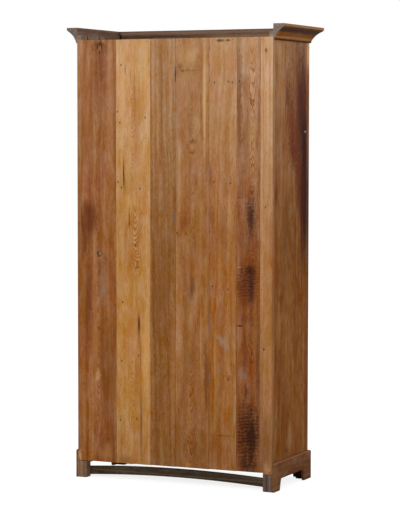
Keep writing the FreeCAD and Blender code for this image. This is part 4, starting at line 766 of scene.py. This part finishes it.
class CABINET_OT_front(bpy.types.Operator):
    """Finishes the face frame and the doors"""
    bl_idname = "cabinet.front"
    bl_label = "Face frame and doors"

    def execute(self, context):
        front = context.scene.cabinet_woods.front
        # softwood, planed, stained red-brown and waxed: even, a little shiny, darker where handled
        dress(wood("Stained and waxed softwood, left stile", front, 13, "YXZ",
                   # the pale patch at the top of the left stile is painted light from above
                   marks=((-170, 1900, 26, 90, "#C0926C", 0.9, 0.6, 0.4),
                          (-167, 1230, 24, 230, MAROON, 0.65, 0.7, 0.3),
                          (-167, 330, 16, 200, OXBLOOD, 0.4, 0.8, 0.1))), "frame_stile_left")
        dress(wood("Stained and waxed softwood, upright", front, 25, gloss=0.12, roughness=0.45,
                   streak=0.18, figure=0.12, marks=HANDLED),
              "frame_stile_right left_door_hinge_stile left_door_meeting_stile "
              "right_door_hinge_stile right_door_meeting_stile")
        dress(wood("Stained and waxed softwood, level", front, 14, "ZYX", gloss=0.12,
                   roughness=0.45, streak=0.16, figure=0.12),
              "frame_top_rail frame_bottom_rail left_door_rails right_door_rails left_door_bars "
              "right_door_bars door_stops left_door_beads right_door_beads")
        return {"FINISHED"}


class CABINET_OT_inside(bpy.types.Operator):
    """Finishes the top, the bottom, the shelves and the cleats under them"""
    bl_idname = "cabinet.inside"
    bl_label = "Shelves and cleats"

    def execute(self, context):
        inside = context.scene.cabinet_woods.inside
        # softwood, planed and left bare in the dark: pale, dry and even
        dress(wood("Bare planed softwood, shelves", inside, 15, "YZX", figure=0.12),
              "top_board bottom_board shelf_1 shelf_2 shelf_3 shelf_4")
        dress(wood("Bare planed softwood, cleats", inside, 16, "ZXY"), "shelf_cleats")
        return {"FINISHED"}


class CABINET_OT_base(bpy.types.Operator):
    """Finishes the plinth, the blocks inside its feet and the stretcher between them"""
    bl_idname = "cabinet.base"
    bl_label = "Plinth, foot blocks and stretcher"

    def execute(self, context):
        tones = context.scene.cabinet_woods
        # softwood, stained dark: a painted highlight along the top edge, and darker along the floor
        top_highlight_and_low_band = ((122, 0, 4, 3000, "#8A6042", 0.5, 0.8, 0.2), (3, 0, 9, 3000, SPLIT, 0.5, 0.9, 0.1))
        dress(wood("Stained plinth softwood, front", tones.plinth, 17, "ZYX", marks=top_highlight_and_low_band),
              "plinth_front")
        dress(wood("Stained plinth softwood, sides", tones.plinth, 18, "ZXY",
                   marks=(*top_highlight_and_low_band, (70, 215, 80, 34, "#7A5838", 0.5, 0.9, 0.1))),
              "plinth_left plinth_right")
        # offcuts, sawn and never finished: grey with dust, and black at the front, a painted shadow
        # inside the front feet
        dress(wood("Rough sawn softwood, foot blocks", tones.foot_blocks, 19, "XZY", figure=0.05,
                   marks=((460, 200, 60, 60, "#8C6C54", 0.85, 0.8, 0.4),
                          (463, 215, 3, 60, UMBER, 0.55, 0.4, 0.3),
                          (440, 215, 7, 60, SPLIT, 0.4, 0.5, 0.2),
                          (-440, 226, 40, 20, "#6C584C", 0.6, 1.4, 0.2),
                          (-444, 215, 5, 60, TAR, 0.5, 0.4, 0.3),
                          (-460, 215, 5, 60, GREY, 0.3, 0.5, 0.2),
                          # painted shadow: the front blocks are black where the inside of the front
                          # feet is in shade
                          (0, -170, 600, 100, HOLE, 0.9, 0.2, 0.6))), "foot_blocks")
        dress(wood("Rough sawn softwood, stretcher", tones.stretcher, 21, "ZYX",
                   marks=((68, 0, 3, 3000, "#7C6A54", 0.6, 1, 0.1),
                          (34, 0, 4, 3000, "#6E5C48", 0.4, 1.2))), "rear_stretcher")
        return {"FINISHED"}


class CABINET_OT_cornice(bpy.types.Operator):
    """Finishes the cornice and the glue blocks behind it"""
    bl_idname = "cabinet.cornice"
    bl_label = "Cornice"

    def execute(self, context):
        tones = context.scene.cabinet_woods
        dress(wood("Rough sawn softwood, glue blocks", tones.glue_blocks, 20, "ZYX"),
              "cornice_blocks")
        # softwood, moulded by hand, stained and waxed: a painted highlight on the top fillet and along
        # the foot of the cove, painted shade in the hollow under the fillet and a painted shadow line
        # under the cornice; the backs and the sawn ends were left bare and are grey with dust
        cove = dict(top="#8A6A50", blotch=0.14, marks=(
            # in turn: painted shade in the hollow under the top fillet, a painted highlight on the
            # fillet, a painted highlight at the foot of the cove and a painted shadow line along the
            # lower edge
            (1976, 0, 12, 2000, "#36241E", 0.9, 0.5, 0.3),
            (1997, 0, 8, 2000, "#946A4A", 0.85, 0.3, 0.5),
            (1945, 0, 5, 2000, HONEY, 0.5, 0.8, 0.1), (1934, 0, 4, 2000, TAR, 0.95, 0.2, 0.5)))
        rear = dict(figure=0.06, marks=(
            (1966, 466, 44, 7, TAR, 0.9, 0.5, 0.4), (1990, 0, 7, 2000, "#8A6F60", 0.6, 0.8, 0.1),
            (1974, 260, 6, 300, "#33241D", 0.6, 0.6, 0.1),
            (1974, -260, 4, 260, "#6A4A38", 0.4, 0.9, 0.1),
            (1968, -250, 12, 330, "#9A7A64", 0.5, 0.9, 0.3),
            (1956, 0, 8, 2000, "#86644F", 0.6, 0.8, 0.1)))
        for hand, seed, lie, bare, back, way, look in (
                ("front", 22, "ZYX", None, "#66503F", 1, rear),
                ("left", 23, "ZXY", "#786A60", "#73594A", 1, {}),
                ("right", 24, "ZXY", "#6A5E56", "#73594A", -1, {})):
            dress(wood("Moulded and stained softwood, " + hand, tones.cornice, seed, lie,
                       ends=bare, reverse=(linear(back), way, look), **cove), "cornice_" + hand)
        return {"FINISHED"}


class CABINET_OT_fittings(bpy.types.Operator):
    """Finishes the glass, the brass and the iron"""
    bl_idname = "cabinet.fittings"
    bl_label = "Glass and metals"

    def execute(self, context):
        fittings = context.scene.cabinet_fittings
        # drawn glass: clear, with a faint green tint, and the view through it wavers a little
        dress(old_pane("Drawn window glass", fittings.glass), "left_door_glass right_door_glass")
        # brass, cast and rubbed by use: bright on top, with dull brown tarnish in patches
        dress(sheen_metal("Rubbed brass", fittings.brass, "#5C4526", 0.3, 1),
              "left_hinge_leaves right_hinge_leaves frame_hinge_leaves hinge_pins keyhole_plate "
              "top_bolt bottom_bolt bolt_plates top_bolt_keeper")
        # iron, forged and filed: nearly black, with brown rust in patches and a dull shine
        dress(sheen_metal("Forged iron", fittings.iron, "#2E241E", 0.5, 2),
              "lock_case lock_bolt lock_keeper key")
        # nails, driven under and stopped with putty that has taken the colour of the boards
        dress(wood("Nail heads under old putty", linear("#7C4E2A"), 33, blotch=0.3), "back_nails")
        return {"FINISHED"}


def face_outwards():
    """Turns the faces of the piece that is open for editing outwards, and closes it."""
    bpy.ops.mesh.select_all(action="SELECT")
    bpy.ops.mesh.normals_make_consistent(inside=False)
    bpy.ops.object.mode_set(mode="OBJECT")


# the two discs of a screw, as shares of the head's radius and height: each starts this wide, and
# each step raises it and narrows it
DIRT_AND_SHADE_RING, HEAD = (1.14, ((0.3, 1),)), (1, ((0.55, 1), (0.45, 0.84)))


def screw_head(radius, height, slot, metal, dirt):
    """A slotted screw head that stands on the floor: a bevelled disc, cut in two by its slot,
    over a thin wider disc that shows as dirt and painted shade in the slot and round the head."""
    discs = []
    for wide, steps in (DIRT_AND_SHADE_RING, HEAD):
        discs.append(disc(vertices=20, radius=wide * radius))
        for rise, share in steps:
            bpy.ops.mesh.extrude_region_move(
                TRANSFORM_OT_translate={"value": (0, 0, rise * height)})
            bpy.ops.transform.resize(value=(share, share, 1), center_override=(0, 0, 0))
        bpy.ops.object.mode_set(mode="OBJECT")
    floor, head = discs
    bpy.ops.object.mode_set(mode="EDIT")
    for side in (-1, 1):
        bpy.ops.mesh.select_all(action="SELECT")
        bpy.ops.mesh.bisect(plane_co=(0, side * slot / 2, 0), plane_no=(0, 1, 0))
    bpy.ops.mesh.select_all(action="DESELECT")
    bpy.ops.object.mode_set(mode="OBJECT")
    for face in head.data.polygons:
        face.select = abs(face.center.y) < slot / 2
    bpy.ops.object.mode_set(mode="EDIT")
    bpy.ops.mesh.select_mode(type="FACE")
    bpy.ops.mesh.delete(type="FACE")
    bpy.ops.mesh.select_mode(type="VERT")
    bpy.ops.mesh.select_all(action="SELECT")
    bpy.ops.mesh.fill_holes(sides=0)
    face_outwards()
    head.data.materials.append(metal)
    floor.data.materials.append(dirt)
    floor.select_set(True)
    bpy.ops.object.join()
    bpy.ops.object.mode_set(mode="EDIT")
    face_outwards()
    return head


def slot_dirt_and_shade():
    """Wax and dust packed into a screw slot, with painted shade in it: nearly black, dull and uneven.
    """
    material, add, shader = new_material("Hard wax, dust and painted shade")
    cloud = add("TexNoise", {"Vector": add("TexCoord")["Object"], "Scale": 900})[0]
    plug(shader, {"Base Color": add("Mix RGBA", {0: cloud, 6: HOLE, 7: SPLIT}), "Roughness": 0.9})
    return material


def driven(model, name, node, start, out, turn, body):
    """A copy of the screw head, driven into the face of a node that lies behind a point."""
    out = Vector(out)
    hit, place, _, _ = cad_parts[node].ray_cast(Vector(start), -out)
    if not hit:
        raise RuntimeError("%s has no wood or metal under it" % name)
    screw = model.copy()
    screw.data = model.data.copy()
    screw.name = screw.data.name = name
    bpy.context.scene.collection.objects.link(screw)
    screw.matrix_world = (Matrix.Translation(place) @ out.to_track_quat("Z", "Y").to_matrix()
                          .to_4x4() @ Matrix.Rotation(turn, 4, "Z"))
    bpy.ops.object.select_all(action="DESELECT")
    screw.select_set(True)
    bpy.context.view_layer.objects.active = screw
    bpy.ops.object.transform_apply(location=True, rotation=True, scale=True)
    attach(screw, body)


# a hinge leaf's height, and how far back and up its screws sit
LEAF, LEAF_SCREWS = 64 * MM, ((16 * MM, 12 * MM), (9 * MM, 32 * MM), (16 * MM, 52 * MM))
# how far in the screws sit: on the lock case, its keeper, the bolt plates across and along, the
# plates behind their bolts, and the keyhole plate
ON_CASE, ON_KEEPER, ACROSS, ALONG = 6 * MM, 5 * MM, 3.4 * MM, 6 * MM
PAST_BOLT, ON_KEYHOLE = 20 * MM, 3.2 * MM
# each screw comes from this far off, and its slot is turned this many radians past the last one
OFF, NEXT = 5 * MM, 2.4


class CABINET_OT_screws(bpy.types.Operator):
    """Models the slotted screws and drives them into the hinges, the lock and the bolts"""
    bl_idname = "cabinet.screws"
    bl_label = "Screws"

    def execute(self, context):
        fittings = context.scene.cabinet_fittings
        radius, height, slot = fittings.screw_radius, fittings.screw_height, fittings.slot_width
        brass, iron = bpy.data.materials["Rubbed brass"], bpy.data.materials["Forged iron"]
        dirt = slot_dirt_and_shade()
        # the hinge screws are filed down, because the leaves close to within 0.4 mm; the lock is
        # held by iron screws with raised heads, the bolts and the keyhole plate by brass ones
        filed = screw_head(1.15 * radius, 0.13 * MM, slot, brass, dirt)
        raised = screw_head(radius, height, slot, iron, dirt)
        bright = screw_head(0.9 * radius, height, slot, brass, dirt)
        pin = screw_head(0.5 * radius, 0.5 * height, 0.5 * slot, brass, dirt)
        turn = 0
        low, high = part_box("frame_hinge_leaves")
        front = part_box("frame_stile_left")[0].y
        levels = (low.z, (low.z + high.z - LEAF) / 2, high.z - LEAF)
        between = (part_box("left_door_hinge_stile")[0].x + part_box("frame_stile_left")[1].x) / 2
        for hand, side in (("left", -1), ("right", 1)):
            for number, level in enumerate(levels, 1):
                for place, (back, up) in enumerate(LEAF_SCREWS, 1):
                    start = (side * abs(between), front + back, level + up)
                    label = "%s_door_hinge_%d_screw_%d" % (hand, number, place)
                    driven(filed, label, hand + "_hinge_leaves", start, (side, 0, 0), turn,
                           hand + "_door")
                    driven(filed, "frame_" + label, "frame_hinge_leaves", start, (-side, 0, 0),
                           turn + 1, "root")
                    turn += NEXT
        low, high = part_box("lock_case")
        behind = high.y + OFF
        places = [("lock_case", x, z, "right_door") for x in (low.x + ON_CASE, high.x - ON_CASE)
                  for z in (low.z + ON_CASE, high.z - ON_CASE)]
        low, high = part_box("lock_keeper")
        places += [("lock_keeper", low.x + ON_KEEPER, z, "left_door")
                   for z in (low.z + ON_KEEPER, high.z - ON_KEEPER)]
        for number, (node, x, z, body) in enumerate(places, 1):
            driven(raised, "lock_screw_%d" % number, node, (x, behind, z), (0, 1, 0), turn, body)
            turn += NEXT
        low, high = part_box("bolt_plates")
        rows = (low.z + ALONG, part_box("bottom_bolt")[1].z - PAST_BOLT,
                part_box("top_bolt")[0].z + PAST_BOLT, high.z - ALONG)
        for number, z in enumerate(rows, 1):
            for hand, x in (("a", low.x + ACROSS), ("b", high.x - ACROSS)):
                driven(bright, "bolt_screw_%d%s" % (number, hand), "bolt_plates", (x, behind, z),
                       (0, 1, 0), turn, "left_door")
                turn += NEXT
        low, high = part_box("keyhole_plate")
        for label, z in (("lower", low.z + ON_KEYHOLE), ("upper", high.z - ON_KEYHOLE)):
            driven(pin, "keyhole_plate_screw_" + label, "keyhole_plate",
                   ((low.x + high.x) / 2, low.y - OFF, z), (0, -1, 0), turn, "right_door")
            turn += NEXT
        for model in (filed, raised, bright, pin):
            bpy.data.objects.remove(model)
        return {"FINISHED"}


def turned(name, centre, radius, steps):
    """A turned piece drawn out of a disc along -Y: each step goes out and changes the radius."""
    piece = disc(vertices=32, radius=radius, location=centre, rotation=(math.pi / 2, 0, 0))
    piece.name = piece.data.name = name
    depth = centre[1]
    for out, wide in steps:
        bpy.ops.mesh.extrude_region_move(
            TRANSFORM_OT_translate={"value": (0, centre[1] - out - depth, 0)})
        depth = centre[1] - out
        share = wide / radius
        bpy.ops.transform.resize(value=(share, 1, share),
                                 center_override=(centre[0], depth, centre[2]))
        radius = wide
    face_outwards()
    return piece


# the knob's outline from its foot to its face, as shares of its reach and of its radius, and the
# radius of its stem
KNOB = ((0, 0.6), (0.04, 0.66), (0.1, 0.62), (0.14, 0.5), (0.3, 0.44), (0.48, 0.48), (0.58, 0.74),
        (0.66, 0.94), (0.75, 1), (0.85, 0.92), (0.93, 0.72), (0.98, 0.4), (1, 0.05))
STEM = 0.27


class CABINET_OT_knob(bpy.types.Operator):
    """Turns the knob of the right door, with a rounded foot, a waist and a crowned face"""
    bl_idname = "cabinet.knob"
    bl_label = "Turned knob"

    def execute(self, context):
        low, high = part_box("right_door_knob")
        middle = (low + high) / 2
        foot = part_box("right_door_meeting_stile")[0].y
        stem = high.y - foot
        reach = foot - low.y
        rim = (high.x - low.x) / 2
        steps = [(stem + out * reach, wide * rim) for out, wide in ((0, STEM), *KNOB)]
        knob = turned("turned_knob", (middle.x, high.y, middle.z), STEM * rim, steps)
        smooth = knob.modifiers.new("Round", "SUBSURF")
        smooth.levels = smooth.render_levels = 2
        bpy.ops.object.modifier_apply(modifier=smooth.name)
        bpy.ops.object.shade_smooth()
        knob.data.materials.append(wood("Turned and waxed knob wood",
                                        context.scene.cabinet_woods.front, 31, "ZXY"))
        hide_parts("right_door_knob")
        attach(knob, "right_door")
        return {"FINISHED"}


class CABINET_PT_panel(bpy.types.Panel):
    """Lists the steps and the sizes and colours they read"""
    bl_idname = "CABINET_PT_panel"
    bl_label = "Cabinet"
    bl_space_type = "VIEW_3D"
    bl_region_type = "UI"
    bl_category = "Cabinet"

    def draw(self, context):
        for group in (context.scene.cabinet_woods, context.scene.cabinet_fittings):
            for key in group.bl_rna.properties.keys():
                if key not in ("rna_type", "name"):
                    self.layout.prop(group, key)
        for step in STEPS:
            self.layout.operator(step.bl_idname)


STEPS = (CABINET_OT_back, CABINET_OT_sides, CABINET_OT_front, CABINET_OT_inside,
         CABINET_OT_base, CABINET_OT_cornice, CABINET_OT_fittings, CABINET_OT_knob,
         CABINET_OT_screws, CABINET_OT_stage)
CLASSES = (CabinetWoods, CabinetFittings, *STEPS, CABINET_PT_panel)


def register():
    for item in CLASSES:
        bpy.utils.register_class(item)
    bpy.types.Scene.cabinet_woods = bpy.props.PointerProperty(type=CabinetWoods)
    bpy.types.Scene.cabinet_fittings = bpy.props.PointerProperty(type=CabinetFittings)


def unregister():
    del bpy.types.Scene.cabinet_fittings
    del bpy.types.Scene.cabinet_woods
    for item in reversed(CLASSES):
        bpy.utils.unregister_class(item)


def main():
    register()
    PATTERNS.update(growth=growth_group(), marks=stain_group(), saws=saw_group(),
                    knots=knot_group(), arches=arch_group(), edges=edge_group())
    for step in STEPS:
        family, label = step.bl_idname.split(".")
        getattr(getattr(bpy.ops, family), label)()


if __name__ == "__main__":
    main()
